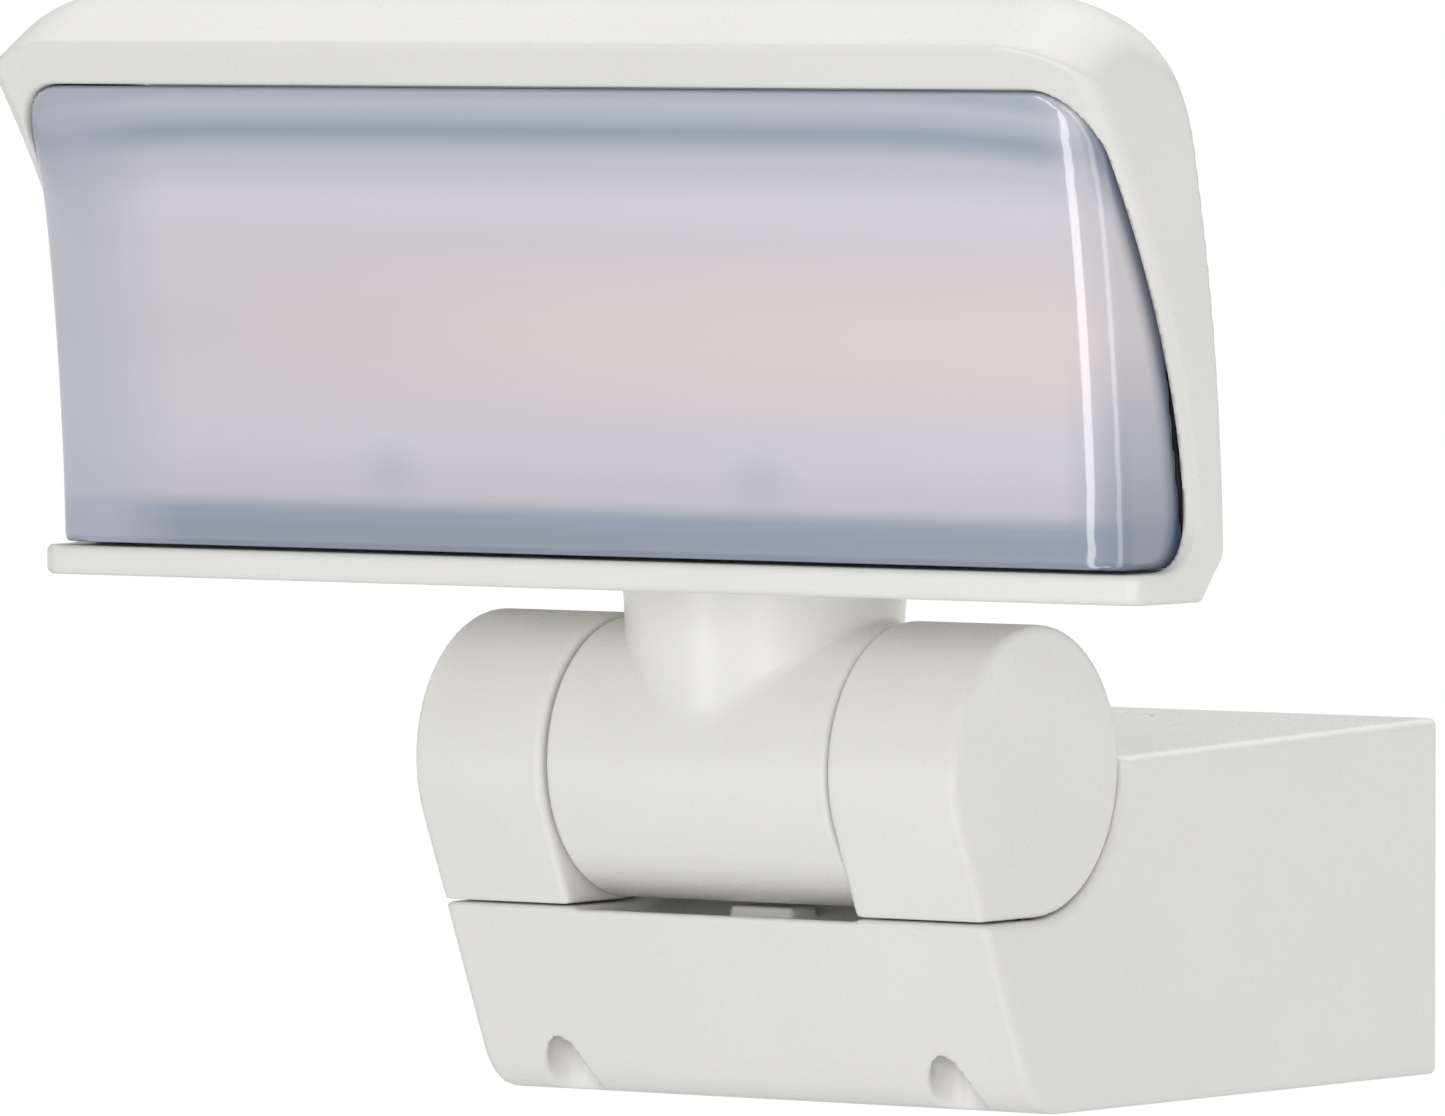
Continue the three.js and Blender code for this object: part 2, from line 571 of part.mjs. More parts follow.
// Envelope of the hood: at each depth a flat-bottomed section with rounded top corners.
function hoodEnvelope() {
  const slope = (RIDGE[1] - CREASE[1]) / (RIDGE[0] - CREASE[0]);
  const stations = [
    [CREASE[0] - 2, CREASE[1] - 2 * slope],
    ...crownCurve.getPoints(6).map((p) => [p.x, p.y]),
    ...backCurve.getPoints(7).slice(1).map((p) => [p.x, p.y]),
  ];
  const bottom = -2;
  const cornerSteps = 6;
  const sections = stations.map(([y, top]) => {
    const { across, down } = HEAD_CORNER;
    const right = [];
    for (let i = 0; i <= cornerSteps; i += 1) {
      const angle = (i / cornerSteps) * (Math.PI / 2);
      right.push([
        HEAD_HALF_WIDTH - across + across * Math.cos(angle),
        y,
        top - down + down * Math.sin(angle),
      ]);
    }
    const left = right.map(([x, , z]) => [-x, y, z]).reverse();
    return [[-HEAD_HALF_WIDTH, y, bottom], [HEAD_HALF_WIDTH, y, bottom], ...right, ...left];
  });
  return loft(sections.reverse());
}

function makeHood() {
  const opening = toSolid(prism('Y',
    frontOutline(OPENING_HALF_WIDTH, LIP_HEIGHT, OPENING_TOP, OPENING_CORNER), -40, 60, 4));
  const topPocket = box(-79, 79, -8.5, 2, OPENING_TOP - 1, 72.8);
  return cut(hoodBar().intersect(hoodEnvelope()), opening, topPocket);
}

addTo(head, 'hood', makeHood(), whitePlastic);

// Depth of the plane that the diffuser's back edge and its gasket share, at height z.
const backPlaneY = (z) => BACK_PLANE_Y - (z - 4.5) * Math.tan(BACK_PLANE_LEAN);

const DIFFUSER = {
  halfWidth: OPENING_HALF_WIDTH - DIFFUSER_INSET,
  bottom: LIP_HEIGHT + 0.4,
  top: OPENING_TOP - 0.5,
};

// Depth of the diffuser's front face at height z: upright at the foot, sweeping forward to the top.
const diffuserFrontY = (z) => {
  const rise = (z - DIFFUSER.bottom) / (DIFFUSER.top - DIFFUSER.bottom);
  return 0.3 - 6.8 * rise ** 1.6 - 3.8 * rise ** 9;
};

// Diffuser volume: at each height a plan section with rounded front corners.
function diffuserVolume(inset, bottom, top) {
  const halfWidth = DIFFUSER.halfWidth - inset;
  const across = DIFFUSER_EDGE.across - inset;
  const deep = DIFFUSER_EDGE.deep - inset;
  const steps = 9;
  const edgeSteps = 4;
  const sections = [];
  for (let s = 0; s <= steps; s += 1) {
    const z = bottom + ((top - bottom) * s) / steps;
    const front = diffuserFrontY(z) + inset;
    const back = backPlaneY(z) + (inset ? 4 : 0);
    const left = [];
    for (let i = 0; i <= edgeSteps; i += 1) {
      const angle = (i / edgeSteps) * (Math.PI / 2);
      left.push([
        -halfWidth + across - across * Math.cos(angle),
        front + deep - deep * Math.sin(angle),
        z,
      ]);
    }
    const right = left.map(([x, y]) => [-x, y, z]).reverse();
    sections.push([[-halfWidth, back, z], ...left, ...right, [halfWidth, back, z]]);
  }
  return loft(sections);
}

const HOUSING_SCREWS = [[-81.6, 12], [81.6, 12], [-81.6, 57], [81.6, 57]];
const HOUSING_BOSS_RADIUS = 3.7;

function makeDiffuser() {
  const outline = (inset) => toSolid(prism('Y', frontOutline(
    DIFFUSER.halfWidth - inset,
    DIFFUSER.bottom + inset,
    DIFFUSER.top - inset,
    OPENING_CORNER - DIFFUSER_INSET - inset,
  ), -20, 30, 4));
  const outer = diffuserVolume(0, DIFFUSER.bottom, DIFFUSER.top).intersect(outline(0));
  const inner = diffuserVolume(DIFFUSER_WALL, DIFFUSER.bottom + 1, DIFFUSER.top - 1)
    .intersect(outline(DIFFUSER_WALL));
  const bosses = HOUSING_SCREWS.map(([x, z]) => rod('Y', x, z, HOUSING_BOSS_RADIUS, 0, 20, 8));
  const holes = HOUSING_SCREWS.map(([x, z]) => rod('Y', x, z, 1.75, backPlaneY(z) - 6.5, 30, 6));
  const bossRoom = diffuserVolume(0.5, DIFFUSER.bottom, DIFFUSER.top);
  const behind = join(...bosses).intersect(outer).intersect(bossRoom)
    .intersect(box(-90, 90, 0, 20, 0, 40).add(box(-90, 90, -3, 20, 39, 70)));
  return cut(join(cut(outer, inner), behind), ...holes);
}

addTo(head, 'diffuser', makeDiffuser(), frosted);

// Pieces that lie along the leaning plane behind the diffuser.
const leaning = new THREE.Group();
leaning.position.set(0, 13.8, 35);
leaning.rotation.x = BACK_PLANE_LEAN;
head.add(leaning);

const SPREADER = { halfWidth: 77, halfHeight: 24, thick: 1.5 };
const LED_FRONT = -3;
const TRAY = { halfWidth: 76.5, halfHeight: 23.5, back: -3.6, front: -9 };
const TRAY_SCREWS = [-30, 30];
const TRAY_SCREW_Z = -19.5;

function makeTray() {
  const outer = box(-TRAY.halfWidth, TRAY.halfWidth, TRAY.front, TRAY.back,
    -TRAY.halfHeight, TRAY.halfHeight);
  const dish = box(-TRAY.halfWidth + 1.4, TRAY.halfWidth - 1.4, TRAY.front - 1, TRAY.back - 1.2,
    -TRAY.halfHeight + 1.4, TRAY.halfHeight - 1.4);
  const window = box(-73, 73, TRAY.back - 2, TRAY.back + 1, -10, 10);
  const posts = TRAY_SCREWS.map((x) => rod('Y', x, TRAY_SCREW_Z, 3, TRAY.back - 2.2, TRAY.back - 0.5, 8));
  const holes = TRAY_SCREWS.map((x) => rod('Y', x, TRAY_SCREW_Z, 1.6, TRAY.front, TRAY.back + 1, 6));
  return cut(join(cut(outer, dish, window), ...posts), ...holes);
}

addTo(leaning, 'light_tray', makeTray(), trayWhite);

TRAY_SCREWS.forEach((x, i) => {
  const side = i ? 'right' : 'left';
  addTo(leaning, `tray_screw_${side}`,
    screw('Y', x, TRAY_SCREW_Z, TRAY.back - 2.5, 0.2, 2.6, 1.25, 1.5), steel);
});

const spreaderPlate = box(-SPREADER.halfWidth, SPREADER.halfWidth, -SPREADER.thick, 0,
  -SPREADER.halfHeight, SPREADER.halfHeight);
const spreaderHoles = TRAY_SCREWS.map((x) => rod('Y', x, TRAY_SCREW_Z, 1.6, -3, 1, 6));
addTo(leaning, 'heat_spreader', cut(spreaderPlate, ...spreaderHoles), aluminium);

// Two LED boards, each with a row of square emitters.
['left', 'right'].forEach((label, i) => {
  const x0 = i ? 1 : -71;
  const board = box(x0, x0 + 70, LED_FRONT, -SPREADER.thick - GAP, -9, 9);
  const emitters = [];
  for (let n = 0; n < 6; n += 1) {
    const x = x0 + 5.5 + n * 11.8;
    emitters.push(box(x - 2.5, x + 2.5, LED_FRONT - 0.9, LED_FRONT + 0.2, -2.5, 2.5));
  }
  addTo(leaning, `led_board_${label}`, join(board, ...emitters), ledBoardWhite);
});

// Gasket frame between the diffuser's back edge and the rear housing.
function makeGasket() {
  const halfWidth = DIFFUSER.halfWidth - 0.1;
  const outline = (inset) => frontOutline(
    halfWidth - inset,
    DIFFUSER.bottom + 0.2 + inset,
    DIFFUSER.top - inset,
    OPENING_CORNER - inset,
  );
  const band = new THREE.Shape();
  const low = DIFFUSER.bottom;
  const high = DIFFUSER.top;
  band.moveTo(backPlaneY(low) + GAP, low);
  band.lineTo(backPlaneY(low) + 1.8, low);
  band.lineTo(backPlaneY(high) + 1.8, high);
  band.lineTo(backPlaneY(high) + GAP, high);
  band.closePath();
  const slab = toSolid(prism('X', band, -halfWidth - 1, halfWidth + 1));
  const ring = cut(
    toSolid(prism('Y', outline(0), -20, 40, 3)),
    toSolid(prism('Y', outline(1.8), -21, 41, 3)),
  );
  return slab.intersect(ring);
}

addTo(head, 'diffuser_gasket', makeGasket(), rubber);

// ---------------------------------------------------------------- rear housing and driver bay

const PANEL_RECESS = 0.8;
const PANEL_THICK = 2.4;
const PANEL = { halfWidth: 86.85, bottom: LIP_HEIGHT + 0.4, top: OPENING_TOP - 0.5, corner: 8 };
const VENT = { x: 60, z: 20 };
const BOARD = { halfWidth: 38, front: 26, back: 60, bottom: 17, thick: 1.6 };
const PILLARS = [[-34, 29.5], [34, 29.5], [-34, 56], [34, 56]];

// Volume behind the hood's back curve, moved forward by `recess`: PANEL_THICK deep, or as far back
// as `reach`.
function behindBack(recess, reach) {
  const low = -5;
  const high = 70;
  const topDepth = 12.6;
  const face = [[topDepth, high], ...backCurve.getPoints(6).map((p) => [p.x, p.y]), [HEAD_DEPTH, low]]
    .map(([y, z]) => [y - recess, z]);
  const rear = reach === undefined
    ? face.map(([y, z]) => [y - PANEL_THICK, z])
    : [[reach, high], [reach, low]];
  const points = [...face, ...rear.reverse()].map(([y, z]) => new THREE.Vector2(y, z));
  return toSolid(prism('X', new THREE.Shape(points), -HEAD_HALF_WIDTH, HEAD_HALF_WIDTH));
}

// Side view of the driver bay, shrunk by `inset`.
function bayVolume(inset, front) {
  const bottom = BAY_FLOOR + inset;
  const back = BAY_BACK - inset;
  const top = BAY_TOP - inset;
  const heel = 4;
  const shoulder = 16 - inset;
  const shape = new THREE.Shape();
  shape.moveTo(BAY_FRONT + inset, bottom);
  shape.lineTo(back - heel, bottom);
  shape.quadraticCurveTo(back, bottom, back, bottom + heel);
  shape.lineTo(back, top - shoulder);
  shape.quadraticCurveTo(back, top, back - shoulder, top);
  shape.lineTo(front, top);
  shape.lineTo(front, PANEL.bottom + 1 + inset);
  shape.lineTo(BAY_FRONT + inset, PANEL.bottom + 1 + inset);
  shape.closePath();
  const halfWidth = BAY_HALF_WIDTH - inset;
  return toSolid(prism('X', shape, -halfWidth, halfWidth, 5));
}

function makeRearHousing() {
  const outline = toSolid(prism('Y',
    frontOutline(PANEL.halfWidth, PANEL.bottom, PANEL.top, PANEL.corner), -10, 40, 4));
  const panel = behindBack(PANEL_RECESS).intersect(outline);
  const bay = bayVolume(0, 5).intersect(behindBack(PANEL_RECESS + PANEL_THICK, 80));
  const pillars = PILLARS.map(([x, y]) => rod('Z', x, y, 2.6, BAY_FLOOR + 1, BOARD.bottom - GAP, 8));
  const pillarHoles = PILLARS.map(([x, y]) => rod('Z', x, y, 1.5, BOARD.bottom - 7, BOARD.bottom, 6));
  const screwHoles = HOUSING_SCREWS.map(([x, z]) => rod('Y', x, z, 1.75, 5, 30, 6));
  return cut(
    join(cut(join(panel, bay), bayVolume(BAY_WALL, 0)), ...pillars),
    ...pillarHoles,
    ...screwHoles,
    rod('Z', 0, HEAD_FORWARD, SPIGOT_RADIUS + 0.6, -1, BAY_FLOOR + BAY_WALL + 1, 20),
    rod('Y', VENT.x, VENT.z, 3.8, 10, 30, 8),
  );
}

addTo(head, 'rear_housing', makeRearHousing(), whitePlastic);

// Depth of the panel's outer face at height z, from the hood's back curve.
function panelFaceY(z) {
  const points = backCurve.getPoints(24);
  const after = points.findIndex((p) => p.y <= z);
  const a = points[after - 1];
  const b = points[after];
  return a.x + ((b.x - a.x) * (a.y - z)) / (a.y - b.y) - PANEL_RECESS;
}

HOUSING_SCREWS.forEach(([x, z], i) => {
  const seat = panelFaceY(z) + (z > 40 ? 1.1 : 0.5);
  addTo(head, `housing_screw_${i + 1}`, screw('Y', x, z, seat, backPlaneY(z) - 5.6, 2.7, 1.35, 1.6), steel);
});

const ventFace = panelFaceY(VENT.z);
addTo(head, 'vent_plug', join(
  rod('Y', VENT.x, VENT.z, 3.5, ventFace - PANEL_THICK, ventFace + 1, 8),
  rod('Y', VENT.x, VENT.z, 5.4, ventFace + 0.8, ventFace + 2.2, 12),
), greyPlastic);

// Driver board on its pillars, with the parts it carries.
const boardTop = BOARD.bottom + BOARD.thick;
const boardHoles = PILLARS.map(([x, y]) => rod('Z', x, y, 1.6, 10, 30, 6));
addTo(head, 'driver_board', cut(
  box(-BOARD.halfWidth, BOARD.halfWidth, BOARD.front, BOARD.back, BOARD.bottom, boardTop),
  rod('Z', 0, HEAD_FORWARD, 3, 10, 30, 10),
  ...boardHoles,
), circuitBoard);

const onBoard = boardTop + GAP;
addTo(head, 'driver_transformer', join(
  box(-30, -10, 36, 52, onBoard, onBoard + 3),
  box(-28, -12, 38, 50, onBoard + 2, onBoard + 15),
  box(-30, -10, 36, 52, onBoard + 12, onBoard + 15.5),
), blackPlastic);
addTo(head, 'driver_capacitor', rod('Z', 16, 35, 6.3, onBoard, onBoard + 20, 10), blackPlastic);
addTo(head, 'driver_choke', tube('Z', 22, 51, 6.6, 2.6, onBoard, onBoard + 8, 10), brass);
addTo(head, 'driver_connector', box(-6, 6, 27.5, 33, onBoard, onBoard + 8), whitePlastic);
[1, 2].forEach((n) => {
  const [x, y] = PILLARS[n === 1 ? 0 : 3];
  addTo(head, `board_screw_${n}`, screw('Z', x, y, boardTop + GAP, BOARD.bottom - 6, 2.6, 1.2, 1.6), steel);
});

// Inner lead from the spigot up through the board to its connector.
addTo(head, 'head_lead', lead([
  [0, HEAD_FORWARD, 12.2],
  [0, HEAD_FORWARD, 18],
  [0, 42.8, 22],
  [0, 39, 23.6],
  [0, 33.6, 23.6],
]), leadJacket);

export default group;
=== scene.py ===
"""Looks of an outdoor LED wall spotlight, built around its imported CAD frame.

Each visible casing is described as a distance field in millimetres, negative inside, from the same
few dimensions as the CAD part, and skinned with a fine mesh whose edges are rounded as moulded
plastic is. Small hidden pieces keep their CAD mesh with softened edges. Every piece has a
procedural material.
"""

import json
import math
from itertools import product

import bpy
import numpy as np
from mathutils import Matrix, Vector


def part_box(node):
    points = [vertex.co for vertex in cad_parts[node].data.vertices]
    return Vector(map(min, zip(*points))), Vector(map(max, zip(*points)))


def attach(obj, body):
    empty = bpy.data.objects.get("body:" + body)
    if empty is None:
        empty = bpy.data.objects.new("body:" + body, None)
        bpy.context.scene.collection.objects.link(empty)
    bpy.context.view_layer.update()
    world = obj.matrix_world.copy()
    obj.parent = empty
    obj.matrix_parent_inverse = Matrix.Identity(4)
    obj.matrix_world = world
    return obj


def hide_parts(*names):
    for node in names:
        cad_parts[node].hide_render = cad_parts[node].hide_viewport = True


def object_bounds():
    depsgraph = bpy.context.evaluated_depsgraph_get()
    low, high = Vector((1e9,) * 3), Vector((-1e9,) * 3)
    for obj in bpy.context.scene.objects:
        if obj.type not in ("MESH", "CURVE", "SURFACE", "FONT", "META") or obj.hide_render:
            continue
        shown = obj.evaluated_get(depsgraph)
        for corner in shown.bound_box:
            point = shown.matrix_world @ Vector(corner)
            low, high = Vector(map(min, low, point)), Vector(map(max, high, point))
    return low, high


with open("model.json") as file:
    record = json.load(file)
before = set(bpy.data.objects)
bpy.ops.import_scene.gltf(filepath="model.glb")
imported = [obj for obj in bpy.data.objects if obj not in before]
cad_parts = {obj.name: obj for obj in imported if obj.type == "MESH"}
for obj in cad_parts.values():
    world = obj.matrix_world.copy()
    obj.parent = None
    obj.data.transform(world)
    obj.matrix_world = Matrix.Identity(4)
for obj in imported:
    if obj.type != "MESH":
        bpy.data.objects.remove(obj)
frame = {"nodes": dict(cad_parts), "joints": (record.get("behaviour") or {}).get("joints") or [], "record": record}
cad_low, cad_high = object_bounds()
slot_of = {s["node"]: s["material_slot"] for s in frame["record"]["subparts"]}

MM = 0.001

# ------------------------------------------------------------------ driving dimensions, in mm

# Places, from the frame.
HINGE = Vector(frame["joints"][0]["pos_m"]) / MM
BROW_REACH = 15  # how far the brow stands in front of the lip
hood_low, hood_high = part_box("hood")
HEAD = Vector((0, hood_low.y / MM + BROW_REACH, hood_low.z / MM))
WALL = Vector((0, 0, 0))

# Lamp head, as (y, z) or (x, z) from the front bottom edge of its lip.
HEAD_HALF_WIDTH = hood_high.x / MM
HEAD_CORNER = (14.5, 8.9)  # how far its round top corners reach across, and down
LIP_HEIGHT = 4.04
CREASE = (-BROW_REACH, 72.2)
RIDGE = (-4.3, 78.7)
BACK_FOOT = (21.6, 9)
OPENING_HALF_WIDTH = 87.25
OPENING_TOP = 66.5
OPENING_CORNER = 8.5
DIFFUSER_HALF_WIDTH = 87.05
DIFFUSER_BOTTOM = 4.44
DIFFUSER_TOP = 66.3
DIFFUSER_EDGE = (6.5, 2.4)  # how far its front corners reach across the face, and back from it
DIFFUSER_WALL = 2.1
BACK_PLANE_Y = 15
BACK_PLANE_LEAN = math.tan(math.radians(9.2))
HOUSING_SCREWS = [(side * 81.6, z) for side in (-1, 1) for z in (12, 57)]
NECK_AXIS_Y = HINGE.y - HEAD.y

# Swivel and lugs, from the tilt axis.
LUG_RADIUS = 19.5
LUG_INNER = 23.4
LUG_OUTER = 44.4
LUG_BEARING = 29.4
BARREL_RADIUS = 19
BARREL_HALF_LENGTH = 22.9
NECK_RADIUS = 19.2
NECK_FOOT_RADIUS = 17.8
NECK_TOP = 24.6
TRUNNION_RADIUS = 11.5
TRUNNION_BORE = 7.5
SPIGOT_RADIUS = 13
SPIGOT_BORE = 9.5
TEE_CAVITY = 16

# Wall box, in the row frame.
BOX_HALF_WIDTH = 46.9
BOX_DRAFT = 0.022
BOX_BOTTOM = -25
BOX_TOP = 24.3
BOX_TOP_SLOPE = 0.028
BOX_WALL = 2.4
BOX_NOSE = 6
FRONT_LEAN = math.radians(24)
GAP = 0.3
SEAM_Z = HINGE.z - LUG_RADIUS - GAP
LUG_SCREW = (31.5, -0.2)  # (x, y) from the tilt axis
TOP_SCREW = (0, -14.7)  # (x, y)

GRID = 0.65  # mesh size on the casings

# ------------------------------------------------------------------ distance fields


def meet(radius, *parts):
    """Where all the parts overlap, with the edges between them rounded."""
    deepest = parts[0]
    for part in parts[1:]:
        deepest = np.maximum(deepest, part)
    beyond = sum(np.maximum(part + radius, 0) ** 2 for part in parts)
    return np.minimum(deepest, -radius) + np.sqrt(beyond)


def join(radius, *parts):
    """The parts together, with a fillet of this radius where they meet."""
    return -meet(radius, *(-part for part in parts))


def cut(radius, solid, *tools):
    """The solid without the tools, with the edges of each cut rounded."""
    for tool in tools:
        solid = meet(radius, solid, -tool)
    return solid


def within(value, low, high):
    """The slab where a coordinate lies between two values."""
    return np.maximum(low - value, value - high)


def disc(u, v, centre, radius):
    return np.hypot(u - centre[0], v - centre[1]) - radius


def outline(points, u, v):
    """Distance in the plane to a closed outline, negative inside it."""
    u, v = np.broadcast_arrays(u, v)
    nearest = np.full(u.shape, np.inf)
    inside = np.zeros(u.shape, bool)
    for (u0, v0), (u1, v1) in zip(points, points[1:] + points[:1]):
        du, dv = u1 - u0, v1 - v0
        if du == dv == 0:
            continue
        along = np.clip(((u - u0) * du + (v - v0) * dv) / (du * du + dv * dv), 0, 1)
        nearest = np.minimum(nearest, (u - u0 - along * du) ** 2 + (v - v0 - along * dv) ** 2)
        if dv:
            inside ^= ((v0 > v) != (v1 > v)) & (u < u0 + (v - v0) * du / dv)
    return np.where(inside, -1, 1) * np.sqrt(nearest)


def bezier(*control, steps=32):
    """Points along the curve of these control points, both ends included."""
    t = np.linspace(0, 1, steps + 1)[:, None]
    degree = len(control) - 1
    curve = sum(
        math.comb(degree, k) * t**k * (1 - t) ** (degree - k) * np.array(point)
        for k, point in enumerate(control)
    )
    return [tuple(point) for point in curve]


def arc(centre, radius, start, end, steps=48):
    return [
        (centre[0] + radius * math.cos(a), centre[1] + radius * math.sin(a))
        for a in np.linspace(start, end, steps + 1)
    ]


def softened(points, radius):
    """The outline with each sharp corner between straight stretches turned by a small arc."""
    soft = []
    for before, here, after in zip(points[-1:] + points[:-1], points, points[1:] + points[:1]):
        corner = Vector(here)
        back, on = Vector(before) - corner, Vector(after) - corner
        if back.length < 2 * radius or on.length < 2 * radius or back.angle(on) > 2.8:
            soft.append(here)
            continue
        soft += bezier(
            corner + back.normalized() * radius, corner, corner + on.normalized() * radius, steps=8
        )
    return soft


# ------------------------------------------------------------------ skinning a field


def sample(values, places):
    """A grid's values at places given in grid steps, blended from the eight nodes around each."""
    base = np.floor(places).astype(int)
    part = places - base
    total = np.zeros(len(places))
    for corner in product((0, 1), repeat=3):
        weight = np.prod(np.where(corner, part, 1 - part), axis=1)
        total += weight * values[tuple((base + corner).T)]
    return total


def slope(values, places):
    """How fast a grid's values rise at places, per grid step along each axis."""
    steps = np.eye(3) / 2
    return np.stack([sample(values, places + s) - sample(values, places - s) for s in steps], axis=1)


def crossings(values):
    """Where the grid's edges cross the surface, and the four cells round each, wound outwards."""
    points, rings = [], []
    for axis in range(3):
        near = [slice(None)] * 3
        far = [slice(None)] * 3
        near[axis] = slice(0, -1)
        far[axis] = slice(1, None)
        a, b = values[tuple(near)], values[tuple(far)]
        at = np.argwhere((a < 0) != (b < 0))
        va, vb = a[tuple(at.T)], b[tuple(at.T)]
        point = at.astype(float)
        point[:, axis] += va / (va - vb)
        side, up = np.eye(3, dtype=int)[[(axis + 1) % 3, (axis + 2) % 3]]
        ring = np.stack([at - side - up, at - up, at, at - side], axis=1)
        ring[va > 0] = ring[va > 0][:, ::-1]
        points.append(point)
        rings.append(ring)
    return np.concatenate(points), np.concatenate(rings)


def skin(field, low, high, step):
    """Points, quads and normals of the surface where a field is zero, with even, smooth quads."""
    low, high = np.array(low), np.array(high)
    count = np.ceil((high - low) / step).astype(int) + 6
    start = (low + high) / 2 - (count - 1) * step / 2
    x, y, z = (start[a] + step * np.arange(count[a]) for a in range(3))
    values = field(x[:, None, None], y[None, :, None], z[None, None, :])
    values = np.ascontiguousarray(np.broadcast_to(values, count), np.float32)
    crossing, rings = crossings(values)
    cells = np.ravel_multi_index(rings.reshape(-1, 3).T, values.shape)
    _, corner = np.unique(cells, return_inverse=True)
    corner = corner.ravel()
    share = np.bincount(corner)
    points = np.stack(
        [np.bincount(corner, np.repeat(crossing[:, a], 4)) / share for a in range(3)], axis=1
    )
    quads = corner.reshape(-1, 4)
    ends = quads.ravel()
    others = np.roll(quads, -1, axis=1).ravel()
    ends, others = np.concatenate([ends, others]), np.concatenate([others, ends])
    degree = np.bincount(ends)
    for _ in range(6):
        rise = slope(values, points)
        steepness = np.sum(rise * rise, axis=1, keepdims=True) + 1e-9
        around = np.stack(
            [np.bincount(ends, points[others, a]) / degree for a in range(3)], axis=1
        )
        move = (around - points) / 2
        move -= rise * np.sum(move * rise, axis=1, keepdims=True) / steepness
        points = points + move
        points -= rise * sample(values, points)[:, None] / steepness
    normals = slope(values, points)
    normals /= np.linalg.norm(normals, axis=1, keepdims=True) + 1e-9
    return start + points * step, quads, normals


def casing(name, field, origin, body, look, nodes=None, step=None):
    """A moulded piece: the skin of a field, in the place and size of the CAD nodes it stands for."""
    nodes = nodes or [name]
    lows, highs = zip(*(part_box(node) for node in nodes))
    low = np.min(lows, axis=0) / MM - np.array(origin)
    high = np.max(highs, axis=0) / MM - np.array(origin)
    points, quads, normals = skin(field, low, high, step or GRID)
    mesh = bpy.data.meshes.new(name)
    mesh.from_pydata((points + np.array(origin)) * MM, [], quads.tolist())
    mesh.shade_smooth()
    mesh.normals_split_custom_set_from_vertices(normals)
    mesh.materials.append(look)
    piece = bpy.data.objects.new(name + "_shell", mesh)
    bpy.context.scene.collection.objects.link(piece)
    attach(piece, body)
    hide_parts(*nodes)
    return piece


# ------------------------------------------------------------------ materials


def srgb(red, green, blue):
    """A display colour from 0 to 255 as the linear colour that shaders use."""
    return tuple(
        c / 12.92 if c <= 0.04045 else ((c + 0.055) / 1.055) ** 2.4
        for c in (red / 255, green / 255, blue / 255)
    ) + (1,)


def seen_through(red, green, blue):
    """The base colour that looks like this once the gloss over it adds its share."""
    gloss, light = 0.14, 0.82
    return tuple(max(0, (c - gloss) / light) for c in srgb(red, green, blue)[:3]) + (1,)


class Look:
    """A material under construction, with short names for the nodes that all of them use."""

    def __init__(self, name):
        self.material = bpy.data.materials.new(name)
        self.material.use_nodes = True
        self.tree = self.material.node_tree
        self.shader = self.tree.nodes["Principled BSDF"]
        self.place = self.tree.nodes.new("ShaderNodeTexCoord").outputs["Object"]

    def node(self, kind, **inputs):
        made = self.tree.nodes.new("ShaderNode" + kind)
        for key, value in inputs.items():
            self.feed(made.inputs[int(key[1:]) if key[0] == "i" and key[1:].isdigit() else key], value)
        return made

    def feed(self, socket, value):
        if isinstance(value, bpy.types.NodeSocket):
            self.tree.links.new(value, socket)
        else:
            socket.default_value = value

    def noise(self, scale, detail=2, where=None):
        return self.node("TexNoise", Vector=where or self.place, Scale=scale, Detail=detail).outputs["Fac"]

    def spread(self, value, low, high, to_low=0.0, to_high=1.0):
        made = self.node("MapRange", Value=value)
        for key, number in zip(("From Min", "From Max", "To Min", "To Max"), (low, high, to_low, to_high)):
            made.inputs[key].default_value = number
        return made.outputs["Result"]

    def math(self, operation, a, b=0.0):
        made = self.node("Math", i0=a, i1=b)
        made.operation = operation
        return made.outputs["Value"]

    def mix(self, factor, a, b):
        made = self.tree.nodes.new("ShaderNodeMix")
        made.data_type = "RGBA"
        self.feed(made.inputs["Factor"], factor)
        self.feed(made.inputs[6], a)
        self.feed(made.inputs[7], b)
        return made.outputs[2]

    def bump(self, height, strength, depth):
        made = self.node("Bump", Height=height, Strength=strength, Distance=depth)
        return made.outputs["Normal"]

    def finish(self, **inputs):
        for key, value in inputs.items():
            self.feed(self.shader.inputs[key.replace("_", " ")], value)
        return self.material


def moulded(name, colour, roughness, grain=0.25, scale=2600, gloss=0.5):
    """Moulded plastic: a fine spark-eroded grain with a slight mottle in colour and sheen."""
    look = Look(name)
    mottle = look.noise(45, 4)
    paler = tuple(min(1, c * 1.012) for c in colour[:3]) + (1,)
    darker = tuple(c * 0.988 for c in colour[:3]) + (1,)
    fine = look.noise(scale, 3)
    return look.finish(
        Base_Color=look.mix(look.spread(mottle, 0.3, 0.7), darker, paler),
        Roughness=look.spread(fine, 0.3, 0.7, roughness - 0.05, roughness + 0.05),
        Normal=look.bump(fine, grain, 0.00006),
        Specular_IOR_Level=gloss,
    )


def metal(name, colour, roughness, stretch):
    """Plated or rolled metal, with fine lines drawn out along one axis and a cloudy sheen."""
    look = Look(name)
    lines = look.node("Mapping", Vector=look.place, Scale=stretch).outputs["Vector"]
    streaks = look.noise(900, 3, lines)
    cloud = look.noise(160, 3)
    darker = tuple(c * 0.8 for c in colour[:3]) + (1,)
    return look.finish(
        Base_Color=look.mix(look.spread(cloud, 0.35, 0.7), darker, colour),
        Metallic=1.0,
        Roughness=look.spread(streaks, 0.3, 0.7, roughness - 0.08, roughness + 0.1),
        Normal=look.bump(streaks, 0.2, 0.00004),
    )


